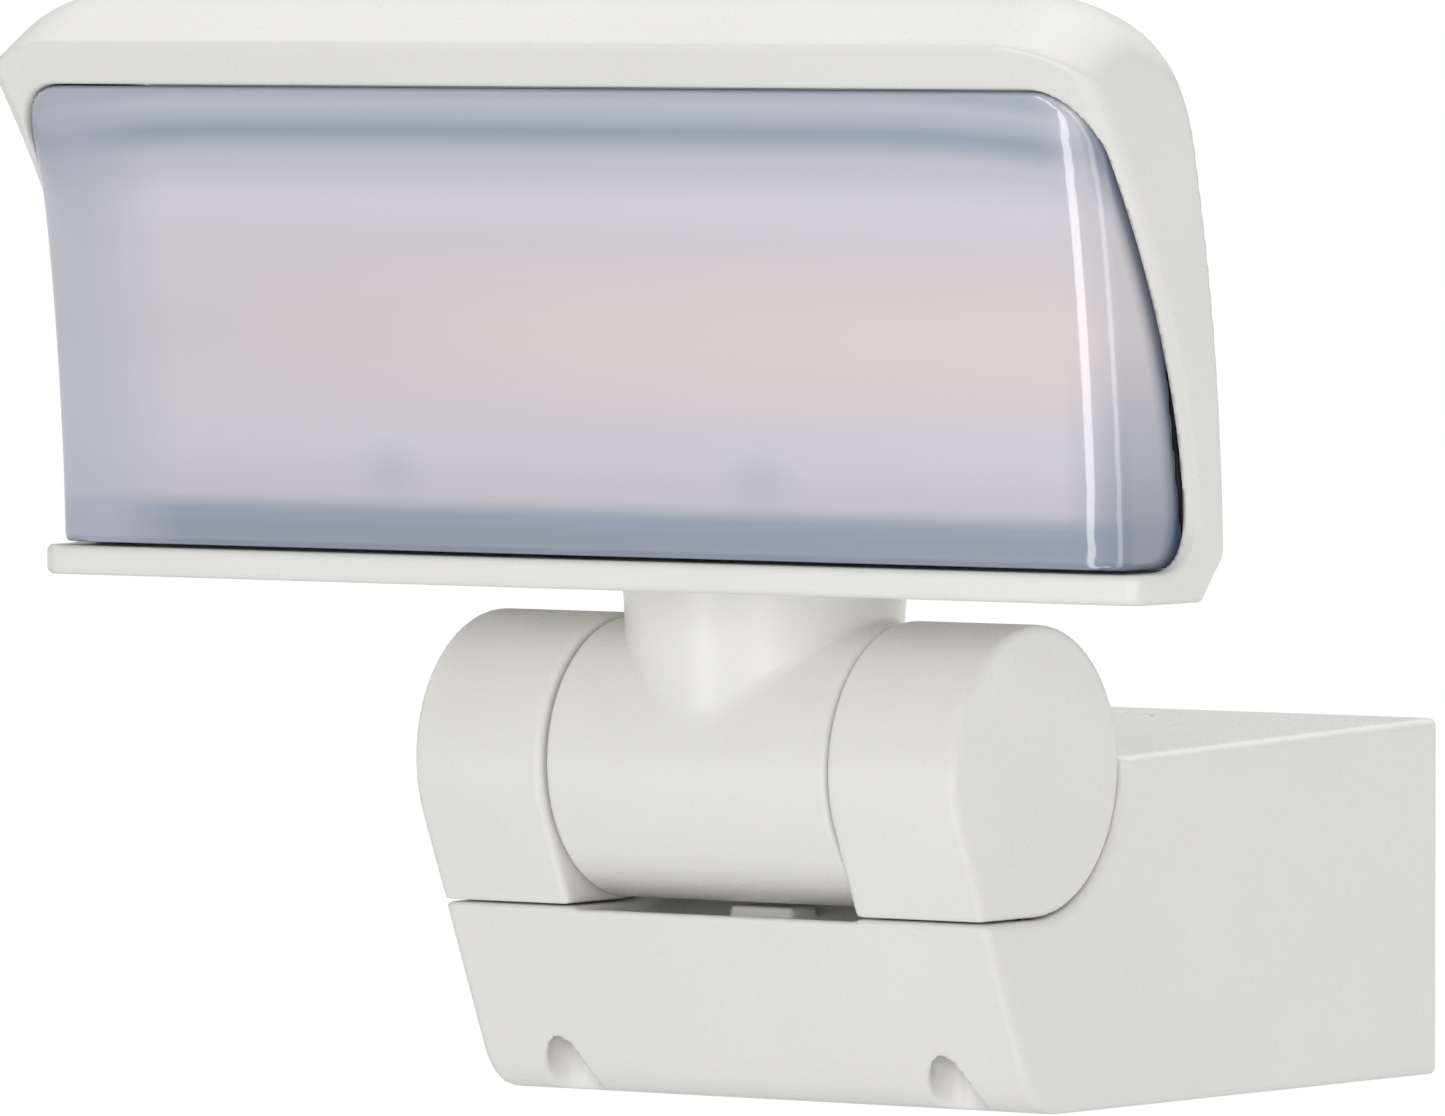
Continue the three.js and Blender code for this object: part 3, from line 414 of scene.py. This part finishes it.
def soft_rubber(name, colour, roughness):
    """Rubber or cable jacket: a dull black with a talc-like bloom."""
    look = Look(name)
    bloom = look.noise(220, 5)
    paler = tuple(c * 1.9 + 0.01 for c in colour[:3]) + (1,)
    return look.finish(
        Base_Color=look.mix(look.spread(bloom, 0.45, 0.8), colour, paler),
        Roughness=look.spread(bloom, 0.3, 0.7, roughness, min(1, roughness + 0.15)),
        Normal=look.bump(look.noise(1500, 3), 0.3, 0.00008),
        Specular_IOR_Level=0.3,
    )


def circuit_board(name, mask, copper):
    """Solder mask over a grid of tracks that stand a little proud."""
    look = Look(name)
    tracks = look.node("TexBrick", Vector=look.place, Scale=260.0)
    tracks.inputs["Mortar Size"].default_value = 0.012
    lines = tracks.outputs["Fac"]
    cloud = look.noise(300, 3)
    return look.finish(
        Base_Color=look.mix(look.math("MULTIPLY", lines, 0.55), mask, copper),
        Roughness=look.spread(cloud, 0.3, 0.7, 0.25, 0.4),
        Normal=look.bump(lines, 0.3, 0.00005),
    )


# Colours seen in the diffuser, from its foot (0) to its top (1); the cool bands near the foot and the top are
# painted shade and a painted reflection.
COVER_BANDS_AND_PAINTED_SHADE = [
    (0.0, (156, 162, 175)),
    (0.045, (153, 160, 172)),
    (0.075, (155, 164, 178)),
    (0.125, (198, 194, 201)),
    (0.24, (205, 202, 209)),
    (0.34, (208, 203, 209)),
    (0.49, (206, 201, 206)),
    (0.66, (211, 206, 212)),
    (0.76, (215, 212, 219)),
    (0.85, (204, 203, 211)),
    (0.915, (166, 176, 188)),
    (0.945, (186, 192, 203)),
    (0.97, (196, 199, 208)),
    (1.0, (180, 187, 198)),
]
WARM_MIDDLE = (219, 208, 207)
PAINTED_SHADE_LEFT = (184, 187, 200)
RIGHT_CORNER_PAINTED_SHADE_FOOT = (148, 154, 168)
RIGHT_CORNER_PAINTED_SHADE_TOP = (206, 203, 208)
RIM_SHADOW = (112, 124, 146)
SCREW_SMUDGE = (172, 178, 196)


def banded_with_painted_shade(look, height):
    """The colours of COVER_BANDS_AND_PAINTED_SHADE, eased from one to the next up the cover."""
    ramp = look.node("ValToRGB", Fac=height)
    stops = ramp.color_ramp.elements
    while len(stops) < len(COVER_BANDS_AND_PAINTED_SHADE):
        stops.new(0.5)
    for stop, (at, colour) in zip(stops, COVER_BANDS_AND_PAINTED_SHADE):
        stop.position = at
        stop.color = seen_through(*colour)
    ramp.color_ramp.interpolation = "EASE"
    return ramp.outputs["Color"]


def near_rim(look, aside, y, z, half_width):
    """From 0 to 1 where the cover's side comes close to the wing's front edge, here as a parabola."""
    up = look.math("SUBTRACT", z, HEAD.z * MM + 0.008)
    bulge = look.math("MULTIPLY", look.math("MULTIPLY", up, up), 6.9)
    depth = look.math("ADD", y, bulge)
    return look.math(
        "MULTIPLY",
        look.spread(depth, HEAD.y * MM + 0.0095, HEAD.y * MM + 0.0125),
        look.spread(aside, half_width - 0.0025, half_width - 0.001),
    )


def near_tray_screws(look, aside, z):
    """From 0 to 1 towards the two points of the cover that lie over the heads of the tray screws."""
    screw_low, screw_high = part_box("tray_screw_right")
    middle = (screw_low + screw_high) / 2
    across = look.math("DIVIDE", look.math("SUBTRACT", aside, middle.x), 0.0055)
    above = look.math("DIVIDE", look.math("SUBTRACT", z, middle.z), 0.0045)
    squares = [look.math("MULTIPLY", side, side) for side in (across, above)]
    return look.spread(look.math("SQRT", look.math("ADD", *squares)), 0.1, 1.2, 1, 0)


def frosted_cover(name):
    """Frosted polycarbonate with a glossy skin. What lies behind it shows through as soft bands: the LED boards as
    a warm one across the middle, and the heads of the two tray screws as faint smudges. The cool bands above and
    below are painted shade and a painted reflection: the shade in the gap round the tray and under the brow, and
    the reflection of the lip. The darker left side and right corner are painted shade too."""
    look = Look(name)
    low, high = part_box("diffuser")
    apart = look.node("SeparateXYZ", Vector=look.place)
    x, y, z = (apart.outputs[axis] for axis in "XYZ")
    aside = look.math("ABSOLUTE", x)
    height = look.spread(z, low.z, high.z)

    # Bands up the cover: its own tones, with painted shade and a painted reflection in the cool bands near its
    # foot and top.
    droop = look.math("POWER", look.spread(aside, 0.05, 0.087), 2)
    droop = look.math("MULTIPLY", droop, look.spread(height, 0.6, 0.85, 0, 0.04))
    colour = banded_with_painted_shade(look, look.math("ADD", height, droop))

    from_middle = look.math("ABSOLUTE", look.math("SUBTRACT", height, 0.48))
    to_the_right = look.spread(x, -0.065, 0.03)
    warmth = look.math("MULTIPLY", look.spread(from_middle, 0.03, 0.2, 1, 0), to_the_right)
    colour = look.mix(warmth, colour, seen_through(*WARM_MIDDLE))

    # Painted shade down the left side: the dark gap round the tray, as seen through the cover.
    left_painted_shade = look.spread(x, low.x + 0.009, low.x + 0.022, 0.7, 0)
    colour = look.mix(left_painted_shade, colour, seen_through(*PAINTED_SHADE_LEFT))

    # Painted shade on the right corner of the cover, darkest at its foot.
    right_painted_shade = look.spread(x, high.x - 0.009, high.x - 0.001, 0, 0.8)
    corner = look.mix(
        look.spread(height, 0.1, 0.5), seen_through(*RIGHT_CORNER_PAINTED_SHADE_FOOT), seen_through(*RIGHT_CORNER_PAINTED_SHADE_TOP)
    )
    colour = look.mix(right_painted_shade, colour, corner)

    shadow = look.math("MULTIPLY", near_rim(look, aside, y, z, high.x), 0.55)
    colour = look.mix(shadow, colour, seen_through(*RIM_SHADOW))
    smudge = look.math("MULTIPLY", near_tray_screws(look, aside, z), 0.4)
    colour = look.mix(smudge, colour, seen_through(*SCREW_SMUDGE))

    frost = look.noise(1800, 3)
    return look.finish(
        Base_Color=colour,
        Roughness=look.spread(frost, 0.3, 0.7, 0.28, 0.36),
        Normal=look.bump(frost, 0.08, 0.00003),
        Coat_Weight=1.0,
        Coat_Roughness=0.05,
        Coat_IOR=1.75,
    )


WHITE = srgb(234, 233, 229)
looks = {
    "white_plastic": moulded("white_plastic", WHITE, 0.31, gloss=0.5),
    "inner_plastic": moulded("inner_plastic", srgb(214, 212, 205), 0.5),
    "grey_plastic": moulded("grey_plastic", srgb(120, 122, 124), 0.48, grain=0.35),
    "black_plastic": moulded("black_plastic", srgb(30, 31, 34), 0.4, grain=0.35),
    "frosted_diffuser": frosted_cover("frosted_diffuser"),
    "tray_white": moulded("tray_white", srgb(240, 240, 238), 0.3, grain=0.1),
    "rubber": soft_rubber("rubber", srgb(42, 42, 44), 0.7),
    "steel": metal("steel", srgb(188, 190, 194), 0.32, (1, 1, 6)),
    "aluminium": metal("aluminium", srgb(206, 208, 212), 0.36, (0.05, 1, 1)),
    "brass": metal("brass", srgb(206, 170, 98), 0.3, (1, 1, 4)),
    "circuit_board": circuit_board("circuit_board", srgb(22, 84, 50), srgb(90, 150, 90)),
    "led_board": moulded("led_board", srgb(236, 234, 222), 0.35, grain=0.1),
    "lead_jacket": soft_rubber("lead_jacket", srgb(52, 52, 55), 0.55),
}

# ------------------------------------------------------------------ lamp head

BROW_SLOPE = (RIDGE[1] - CREASE[1]) / (RIDGE[0] - CREASE[0])
BACK_CURVE = bezier((14.1, 64.3), (15.7, 56.5), (20.2, 40), BACK_FOOT)
FAR = 60

# Side view of all that lies under the brow, the crown and the back.
roof_line = [
    (-FAR, CREASE[1] - (FAR + CREASE[0]) * BROW_SLOPE),
    *bezier((RIDGE[0] - 3, RIDGE[1] - 3 * BROW_SLOPE), RIDGE, (RIDGE[0] + 3, RIDGE[1] + 0.1), steps=12),
    *bezier((RIDGE[0] + 3, RIDGE[1] + 0.1), (7, 77.3), (11.7, 76), (14.1, 64.3)),
    *BACK_CURVE[1:],
    (BACK_FOOT[0], 5.6),
    (16.9, 0.4),
    (15, -FAR),
    (-FAR, -FAR),
]

# Side view of all that lies behind the lip's front and the curved front edge of the wings.
face_line = [
    *bezier((1, 0), (0, 0), (0, 1), steps=6),
    *bezier((0, LIP_HEIGHT - 0.8), (0, LIP_HEIGHT), (0.8, LIP_HEIGHT), steps=6),
    *bezier((4.5, LIP_HEIGHT), (13, 4.1), (13, 11.5)),
    *bezier((13, 11.5), (11.8, 31), (0, 54), CREASE)[1:],
    (CREASE[0] - 8, CREASE[1] + 10.7),
    (FAR, 2 * FAR),
    (FAR, 0),
]


crown_depths, crown_heights = zip(*roof_line[:-4])
WING_CHAMFER = 0.6  # how far the wings' front edge drops back for each mm outwards


def hood(x, y, z):
    """Visor, side wings and lip in one moulding, open at the back for the rear housing."""
    side = np.abs(x) - HEAD_HALF_WIDTH
    across, down = HEAD_CORNER
    under_roof = (z - np.interp(y, crown_depths, crown_heights)) * across / down
    shoulder = meet(across, under_roof, side)
    body = np.maximum(meet(2, outline(roof_line, y, z), side), shoulder)
    chamfer = np.maximum(np.abs(x) - OPENING_HALF_WIDTH, 0) * WING_CHAMFER
    body = meet(0.5, body, outline(face_line, y - chamfer, z))
    opening = meet(OPENING_CORNER, np.abs(x) - OPENING_HALF_WIDTH, z - OPENING_TOP)
    body = cut(0.25, body, np.maximum(opening, LIP_HEIGHT - z))
    pocket = np.maximum(within(y, -8.5, 2), within(z, OPENING_TOP - 1, 72.8))
    return cut(0.5, body, np.maximum(pocket, np.abs(x) - 79))


casing("hood", hood, HEAD, "head", looks["white_plastic"])


def diffuser_front(z):
    """Depth of the cover's front face: upright at the foot, sweeping forward to the top."""
    rise = (z - DIFFUSER_BOTTOM) / (DIFFUSER_TOP - DIFFUSER_BOTTOM)
    return 0.3 - 6.8 * rise**1.6 - 3.8 * rise**9


cover_heights = np.linspace(DIFFUSER_BOTTOM, DIFFUSER_TOP, 48)
cover_line = [
    (FAR, -FAR),
    (diffuser_front(DIFFUSER_BOTTOM), -FAR),
    *((diffuser_front(z), z) for z in cover_heights),
    (diffuser_front(DIFFUSER_TOP) - 6, DIFFUSER_TOP + 8),
    (FAR, DIFFUSER_TOP + 8),
]


def back_plane(z):
    return BACK_PLANE_Y - (z - DIFFUSER_BOTTOM) * BACK_PLANE_LEAN


def cover_dish(x, y, z, inset):
    """All that lies inside the cover's skin, or further in by the inset."""
    across, back = (max(0.6, reach - inset) for reach in DIFFUSER_EDGE)
    side = np.abs(x) - DIFFUSER_HALF_WIDTH + inset
    face = meet(across, (outline(cover_line, y, z) + inset) * across / back, side)
    ends = meet(OPENING_CORNER - 0.15, side, z - DIFFUSER_TOP + inset)
    return meet(0.9, face, ends, DIFFUSER_BOTTOM + inset - z)


def diffuser(x, y, z):
    """Frosted cover: a dish with round front corners, with four screw bosses behind its face."""
    solid = cover_dish(x, y, z, 0)
    shell = cut(0.3, solid, cover_dish(x, y, z, DIFFUSER_WALL))
    for place in HOUSING_SCREWS:
        boss = meet(0.3, disc(x, z, place, 3.7), solid + 0.5)
        shell = join(0.5, shell, boss)
        shell = cut(0.2, shell, np.maximum(disc(x, z, place, 1.75), back_plane(place[1]) - 6.5 - y))
    return meet(0.3, shell, y - back_plane(z))


casing("diffuser", diffuser, HEAD, "head", looks["frosted_diffuser"], step=GRID * 1.15)

BAY_HALF_WIDTH = 46
BAY_WALL = 2.5
PANEL_RECESS = 0.8
PANEL_THICK = 2.4
PILLARS = [(side * 34, y) for side in (-1, 1) for y in (29.5, 56)]
VENT = (60, 20)

panel_line = [
    (12.6, 70),
    *BACK_CURVE,
    (BACK_FOOT[0], -FAR),
    (-FAR, -FAR),
    (-FAR, 70),
]
bay_line = [
    (22.2, 0.4),
    *bezier((61.8, 0.4), (65.8, 0.4), (65.8, 4.4), steps=12),
    *bezier((65.8, 34), (65.8, 50), (49.8, 50)),
    (5, 50),
    (5, 5.44),
    (22.2, 5.44),
]


def rear_housing(x, y, z):
    """Back panel with the driver bay over the neck, hollow and open towards the front."""
    behind = outline(panel_line, y, z) + PANEL_RECESS
    side = np.abs(x) - OPENING_HALF_WIDTH + 0.4
    ends = meet(8, side, z - DIFFUSER_TOP)
    panel = meet(0.5, np.maximum(behind, -behind - PANEL_THICK), ends, DIFFUSER_BOTTOM - z)
    bay_side = outline(bay_line, y, z)
    bay = meet(2.6, bay_side, np.abs(x) - BAY_HALF_WIDTH)
    body = join(1.6, panel, np.maximum(bay, -behind - PANEL_THICK))
    room = meet(1.5, bay_side + BAY_WALL, np.abs(x) - BAY_HALF_WIDTH + BAY_WALL)
    mouth = np.maximum(np.maximum(within(z, 8.5, 47.5), y - 26), np.abs(x) - BAY_HALF_WIDTH + BAY_WALL)
    body = cut(0.3, body, np.minimum(room, mouth))
    for place in PILLARS:
        pillar = np.maximum(disc(x, y, place, 2.6), within(z, 1.4, 16.7))
        body = cut(0.2, join(0.6, body, pillar), np.maximum(disc(x, y, place, 1.5), within(z, 10, 18)))
    for place in HOUSING_SCREWS:
        body = cut(0.2, body, np.maximum(disc(x, z, place, 1.75), y - 30))
    spigot_hole = np.maximum(disc(x, y, (0, NECK_AXIS_Y), SPIGOT_RADIUS + 0.6), z - 5)
    return cut(0.4, body, spigot_hole, np.maximum(disc(x, z, VENT, 3.8), y - 30))


casing("rear_housing", rear_housing, HEAD, "head", looks["white_plastic"], step=GRID * 1.1)

# ------------------------------------------------------------------ swivel and lugs


def swivel_tee(x, y, z):
    """Barrel between the lugs and neck under the head, run into each other with a soft fillet."""
    round_x, round_z = np.hypot(y, z), np.hypot(x, y)
    barrel = meet(0.7, round_x - BARREL_RADIUS, np.abs(x) - BARREL_HALF_LENGTH)
    girth = NECK_FOOT_RADIUS + (NECK_RADIUS - NECK_FOOT_RADIUS) * z / NECK_TOP
    neck = meet(0.5, round_z - girth, within(z, 0, NECK_TOP))
    trunnions = meet(0.4, round_x - TRUNNION_RADIUS, np.abs(x) - 33.5)
    spigot = meet(0.4, round_z - SPIGOT_RADIUS, within(z, 20, 36))
    body = join(0.3, join(1.0, barrel, neck), trunnions, spigot)
    hollow_x = np.maximum(round_x - TEE_CAVITY, np.abs(x) - BARREL_HALF_LENGTH + 3)
    hollow_z = np.maximum(round_z - TEE_CAVITY, within(z, 0, NECK_TOP - 4))
    groove = np.maximum(within(round_z, 14.3, 17.5), NECK_TOP - 1.7 - z)
    bores = np.minimum(round_x - TRUNNION_BORE, np.maximum(round_z - SPIGOT_BORE, -z))
    return cut(0.3, body, np.minimum(hollow_x, hollow_z), np.maximum(groove, 0 - z), bores)


casing("swivel_tee", swivel_tee, HINGE, "swivel", looks["white_plastic"], step=GRID * 0.8)

lug_line = [
    *arc((0, 0), LUG_RADIUS, -math.pi / 2, math.pi + FRONT_LEAN, steps=96),
    (LUG_RADIUS * (math.tan(FRONT_LEAN) - 1 / math.cos(FRONT_LEAN)), -LUG_RADIUS),
]


def hinge_lug(side):
    """Round lug on a foot: bearing wall inside, hollow behind its outer disc."""

    def field(x, y, z):
        x = x * side
        profile = outline(lug_line, y, z)
        body = meet(0.9, profile, within(x, LUG_INNER, LUG_OUTER))
        turned = np.hypot(y, z)
        hollow = np.maximum(turned - LUG_RADIUS + BOX_WALL, within(x, LUG_BEARING, LUG_OUTER - BOX_WALL))
        bearing = np.maximum(turned - TRUNNION_RADIUS - GAP, x - LUG_BEARING - 1)
        seat = np.maximum(turned - 13.6, x - 26.1)
        column = disc(x, y, LUG_SCREW, 0)
        body = cut(0.4, body, np.minimum(hollow, np.minimum(bearing, seat)))
        body = join(0.4, body, np.maximum(column - 3.4, within(z, -LUG_RADIUS + 0.5, -15)))
        return cut(0.2, body, np.maximum(column - 1.85, z + 14))

    return field


for label, side in (("left", -1), ("right", 1)):
    casing("hinge_lug_" + label, hinge_lug(side), HINGE, "base", looks["white_plastic"], step=GRID * 0.8)

# ------------------------------------------------------------------ wall box


def box_top(y):
    return BOX_TOP + BOX_TOP_SLOPE * y


def front_face(z, inset=0.0):
    """Depth of the box's leaning front at a height, moved back square to the face."""
    return HINGE.y - (LUG_RADIUS - inset) / math.cos(FRONT_LEAN) - (z - HINGE.z) * math.tan(FRONT_LEAN)


def box_line(inset, reach, cradle):
    """Side view of the wall box: nose, leaning front, shelf, cradle round the barrel, and top."""
    bottom = BOX_BOTTOM + inset
    shelf = HINGE.z - cradle
    nose = BOX_NOSE - inset / 2
    corner = front_face(bottom, inset)
    top_end = math.asin((box_top(HINGE.y + cradle) - inset - HINGE.z) / cradle)
    return [
        (reach, bottom),
        *bezier((corner + nose, bottom), (corner, bottom), (front_face(bottom + nose, inset), bottom + nose)),
        (front_face(shelf, inset), shelf),
        *arc((HINGE.y, HINGE.z), cradle, -math.pi / 2, top_end, steps=16),
        (reach, box_top(reach) - inset),
    ]


def base_housing(x, y, z):
    """Hollow wall box with its cradle, the scallops over the lug screws and the seat of the plug."""
    width = BOX_HALF_WIDTH + BOX_DRAFT * y
    outer_line = softened(box_line(0, 0, LUG_RADIUS + GAP), 0.8)
    body = meet(1.0, outline(outer_line, y, z), np.abs(x) - width)
    room = meet(1.0, outline(box_line(BOX_WALL, 20, 24.2), y, z), np.abs(x) - width + BOX_WALL)
    across = np.abs(x)
    column = disc(across, y - HINGE.y, LUG_SCREW, 0)
    boss = np.maximum(disc(x, y, TOP_SCREW, 9.5), 10 - z)
    posts = np.minimum(np.maximum(column - 4.6, z - SEAM_Z + 1), boss)
    posts = np.maximum(posts, body + 1.2)
    body = join(0.5, cut(0.4, body, room), posts)
    turned = disc(y, z, (HINGE.y, HINGE.z), 21.6)
    trench = np.maximum(within(y, front_face(SEAM_Z, BOX_WALL), HINGE.y), within(z, HINGE.z - 21.6, 20))
    sill = np.maximum(y - HINGE.y, 0.8 - z)
    pocket = np.maximum(np.minimum(np.minimum(turned, trench), sill), across - 23)
    body = cut(0.5, body, pocket)
    rest = meet(0.3, across - 5.2, within(y, -96.3, -90), within(z, -1.6, 1.45))
    body = join(0.3, body, rest)
    body = cut(0.9, body, np.maximum(column - 3.5, z + 9))
    plug_axis = disc(x, y, TOP_SCREW, 0)
    lead_hole = np.maximum(disc(x, y, (39.2, HINGE.y), 2.9), within(z, SEAM_Z - 8, SEAM_Z + 1))
    return cut(
        0.3,
        body,
        np.maximum(column - 1.9, within(z, -10, SEAM_Z + 1)),
        lead_hole,
        np.maximum(plug_axis - 8, box_top(TOP_SCREW[1]) - 1.8 - z),
        np.maximum(plug_axis - 4.4, within(z, 17, BOX_TOP)),
        np.maximum(plug_axis - 2.2, within(z, 9, BOX_TOP)),
    )


casing("base_housing", base_housing, WALL, "base", looks["white_plastic"])

GROMMET = (-20, -7)
CLAMP = (-23, 12)
BLOCK = (19, -8)


def wall_plate(x, y, z):
    """Plate behind the box, with its two wall slots, cable hole, screw tab and bosses."""
    plate = meet(0.6, np.abs(x) - 44.2, within(z, -22.1, 21.3), within(y, -3, 0))
    tab = meet(0.5, np.abs(x) - 9.5, within(y, -22, -1), within(z, 5, 9.5))
    pedestal = meet(0.4, np.abs(x - BLOCK[0]) - 9, np.abs(z - BLOCK[1]) - 3, within(y, -7, -1))
    body = join(0.8, plate, tab, pedestal)
    for offset in (-7.5, 7.5):
        boss = disc(x, z, (CLAMP[0] + offset, CLAMP[1]), 0)
        body = join(0.6, body, np.maximum(boss - 3.2, within(y, -7.7, -1)))
        body = cut(0.2, body, np.maximum(boss - 1.7, y + 3.5))
    for offset in (-5, 5):
        body = cut(0.2, body, np.maximum(disc(x, z, (BLOCK[0] + offset, BLOCK[1]), 1.7), y + 3.5))
    slot = np.hypot(np.abs(x) - 39.5, np.maximum(np.abs(z) - 3.5, 0)) - 2.5
    return cut(0.5, body, disc(x, z, GROMMET, 9), slot, disc(x, y, TOP_SCREW, 2.2))


casing("wall_plate", wall_plate, WALL, "base", looks["inner_plastic"])


def cable_grommet(x, y, z):
    """Rubber grommet: a flange, a groove's worth of body and a soft-edged bore."""
    body = meet(0.5, disc(x, z, GROMMET, 8.7), within(y, -4, -0.3))
    flange = meet(0.6, disc(x, z, GROMMET, 11), within(y, -5.3, -3.3))
    return cut(0.8, join(0.3, body, flange), disc(x, z, GROMMET, 3.6))


casing("cable_grommet", cable_grommet, WALL, "base", looks["rubber"], step=0.4)


def fixing_screw_plug(x, y, z):
    """Round cap over the fixing screw, a hair under the top face and leaning with it."""
    axis = disc(x, y, TOP_SCREW, 0)
    cap = meet(0.5, axis - 7.65, z - box_top(y) + 0.15, box_top(y) - 1.5 - z)
    return join(0.2, cap, np.maximum(axis - 4, within(z, 20.5, 22.6)))


casing("fixing_screw_plug", fixing_screw_plug, WALL, "base", looks["white_plastic"], step=0.4)


def vent_plug(x, y, z):
    """Pressure vent in the back of the head: a low cap with a ring of breathing slots."""
    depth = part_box("vent_plug")[1].y / MM - HEAD.y
    axis = disc(x, z, VENT, 0)
    cap = meet(0.6, axis - 5.4, within(y, depth - 1.4, depth))
    stem = np.maximum(axis - 3.5, within(y, depth - 4.6, depth - 1))
    turn = np.arctan2(z - VENT[1], x - VENT[0])
    spokes = np.abs(np.sin(4 * turn)) * axis / 4 - 0.35
    slots = np.maximum(np.maximum(within(axis, 2.2, 4.2), -spokes - 0.1), depth - 0.5 - y)
    return cut(0.15, join(0.3, cap, stem), slots)


casing("vent_plug", vent_plug, HEAD, "head", looks["grey_plastic"], step=0.25)


def screw_field(low, high, axis, head_first):
    """A pan-head screw that fills a CAD screw's box: domed head, six-sided socket, plain shank."""
    centre = (low + high) / 2
    across = [a for a in range(3) if a != axis]
    head_radius = (high - low)[across[0]] / 2
    head_height = 0.62 * head_radius
    end = high[axis] if head_first else low[axis]
    inward = -1 if head_first else 1

    def field(x, y, z):
        at = (x, y, z)
        depth = (at[axis] - end) * inward
        u, v = (at[a] - centre[a] for a in across)
        radius = np.hypot(u, v)
        head = meet(0.45 * head_radius, radius - head_radius, -depth)
        head = meet(0.15, head, depth - head_height)
        shank = meet(0.2, radius - 0.48 * head_radius, within(depth, 0.3, (high - low)[axis]))
        facets = [np.abs(u * math.cos(a) + v * math.sin(a)) for a in np.radians([0, 60, 120])]
        socket = np.maximum(np.maximum(np.maximum(*facets[:2]), facets[2]) - 0.42 * head_radius,
                            depth - 0.5 * head_height)
        return cut(0.1, join(0.1, head, shank), socket)

    return field


for node, axis, head_first in [
    *((f"housing_screw_{n}", 1, True) for n in (1, 2, 3, 4)),
    ("lug_screw_left", 2, False),
    ("lug_screw_right", 2, False),
    ("fixing_screw", 2, True),
]:
    low, high = (np.array(corner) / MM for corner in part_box(node))
    body = "head" if node.startswith("housing") else "base"
    casing(node, screw_field(low, high, axis, head_first), WALL, body, looks["steel"], step=0.2)

# ------------------------------------------------------------------ hidden pieces keep their CAD mesh

for name, cad in frame["nodes"].items():
    if cad.hide_render:
        continue
    cad.data.materials.clear()
    cad.data.materials.append(looks[slot_of[name]])
    edge = cad.modifiers.new("edge", "BEVEL")
    edge.width = 0.15 * MM
    edge.segments = 2
    edge.limit_method = "ANGLE"
    edge.angle_limit = math.radians(35)
    for polygon in cad.data.polygons:
        polygon.use_smooth = False

# ------------------------------------------------------------------ floor, light and camera


def white_stage(name, colour, near_glow, far_glow):
    """Matt white floor, lit up from `near_glow` round the object to `far_glow` behind it."""
    look = Look(name)
    apart = look.node("SeparateXYZ", Vector=look.place)
    x, y = apart.outputs["X"], apart.outputs["Y"]
    away = look.math("SQRT", look.math("ADD", look.math("MULTIPLY", x, x), look.math("MULTIPLY", y, y)))
    return look.finish(
        Base_Color=colour,
        Roughness=0.9,
        Specular_IOR_Level=0.1,
        Emission_Color=(1, 1, 1, 1),
        Emission_Strength=look.spread(away, 2.5, 4.5, near_glow, far_glow),
    )


FLOOR_DROP = 0.9
FLOOR_HALF = 600.0
floor_mesh = bpy.data.meshes.new("floor")
floor_z = cad_low.z - FLOOR_DROP
floor_corners = [(x * FLOOR_HALF, y * FLOOR_HALF, floor_z) for x, y in ((-1, -1), (1, -1), (1, 1), (-1, 1))]
floor_mesh.from_pydata(floor_corners, [], [(0, 1, 2, 3)])
floor_mesh.materials.append(white_stage("floor", srgb(246, 246, 246), 0.1, 0.73))
floor = bpy.data.objects.new("floor", floor_mesh)
bpy.context.scene.collection.objects.link(floor)

world = bpy.data.worlds.new("studio")
world.use_nodes = True
world.node_tree.nodes["Background"].inputs["Color"].default_value = (1, 1, 1, 1)
world.node_tree.nodes["Background"].inputs["Strength"].default_value = 0.317
bpy.context.scene.world = world

TARGET = Vector((0, (cad_low.y + cad_high.y) / 2, (cad_low.z + cad_high.z) / 2))


def softbox(name, azimuth, elevation, distance, width, height, power):
    """A soft light facing the object, at an azimuth from straight ahead and hidden from the camera."""
    data = bpy.data.lights.new(name, "AREA")
    data.shape = "RECTANGLE"
    data.size = width
    data.size_y = height
    data.energy = power
    light = bpy.data.objects.new(name, data)
    a, e = math.radians(azimuth), math.radians(elevation)
    away = Vector((math.sin(a) * math.cos(e), -math.cos(a) * math.cos(e), math.sin(e)))
    light.location = TARGET + away * distance
    light.rotation_euler = (-away).to_track_quat("-Z", "Y").to_euler()
    light.visible_camera = False
    bpy.context.scene.collection.objects.link(light)
    return light


# Upright strips that show only in reflections, as the bright lines down the diffuser's corner.
for name, azimuth, width, power in [("strip_left", -16, 0.11, 0.95), ("strip_right", 30, 0.22, 0.8)]:
    softbox(name, azimuth, -22, 0.7, width, 0.75, power).visible_diffuse = False

# Broad lights that never show in a reflection.
for name, azimuth, elevation, power in [
    ("fill_left", -20, 5, 0.9),
    ("fill_front", 0, 0, 1.2),
    ("fill_right", 33, 3, 3.6),
    ("side", 125, 5, 3.0),
    ("high", 15, 62, 1.5),
    ("top", -160, 74, 9.6),
]:
    softbox(name, azimuth, elevation, 1.2, 0.5, 0.5, power).visible_glossy = False

LENS = 372.2
CAMERA_AT = Vector((1.1535, -1.7383, 0.1297))
CAMERA_AZIMUTH = math.radians(35.23)
CAMERA_ELEVATION = math.radians(2.32)
camera_data = bpy.data.cameras.new("camera")
camera_data.lens = LENS
camera_data.sensor_width = 36
camera_data.clip_start = 0.05
camera_data.clip_end = 2000
camera = bpy.data.objects.new("camera", camera_data)
camera.location = CAMERA_AT
looking = Vector((
    -math.sin(CAMERA_AZIMUTH) * math.cos(CAMERA_ELEVATION),
    math.cos(CAMERA_AZIMUTH) * math.cos(CAMERA_ELEVATION),
    -math.sin(CAMERA_ELEVATION),
))
camera.rotation_euler = looking.to_track_quat("-Z", "Y").to_euler()
bpy.context.scene.collection.objects.link(camera)
bpy.context.scene.camera = camera
bpy.context.scene.view_settings.view_transform = "Standard"
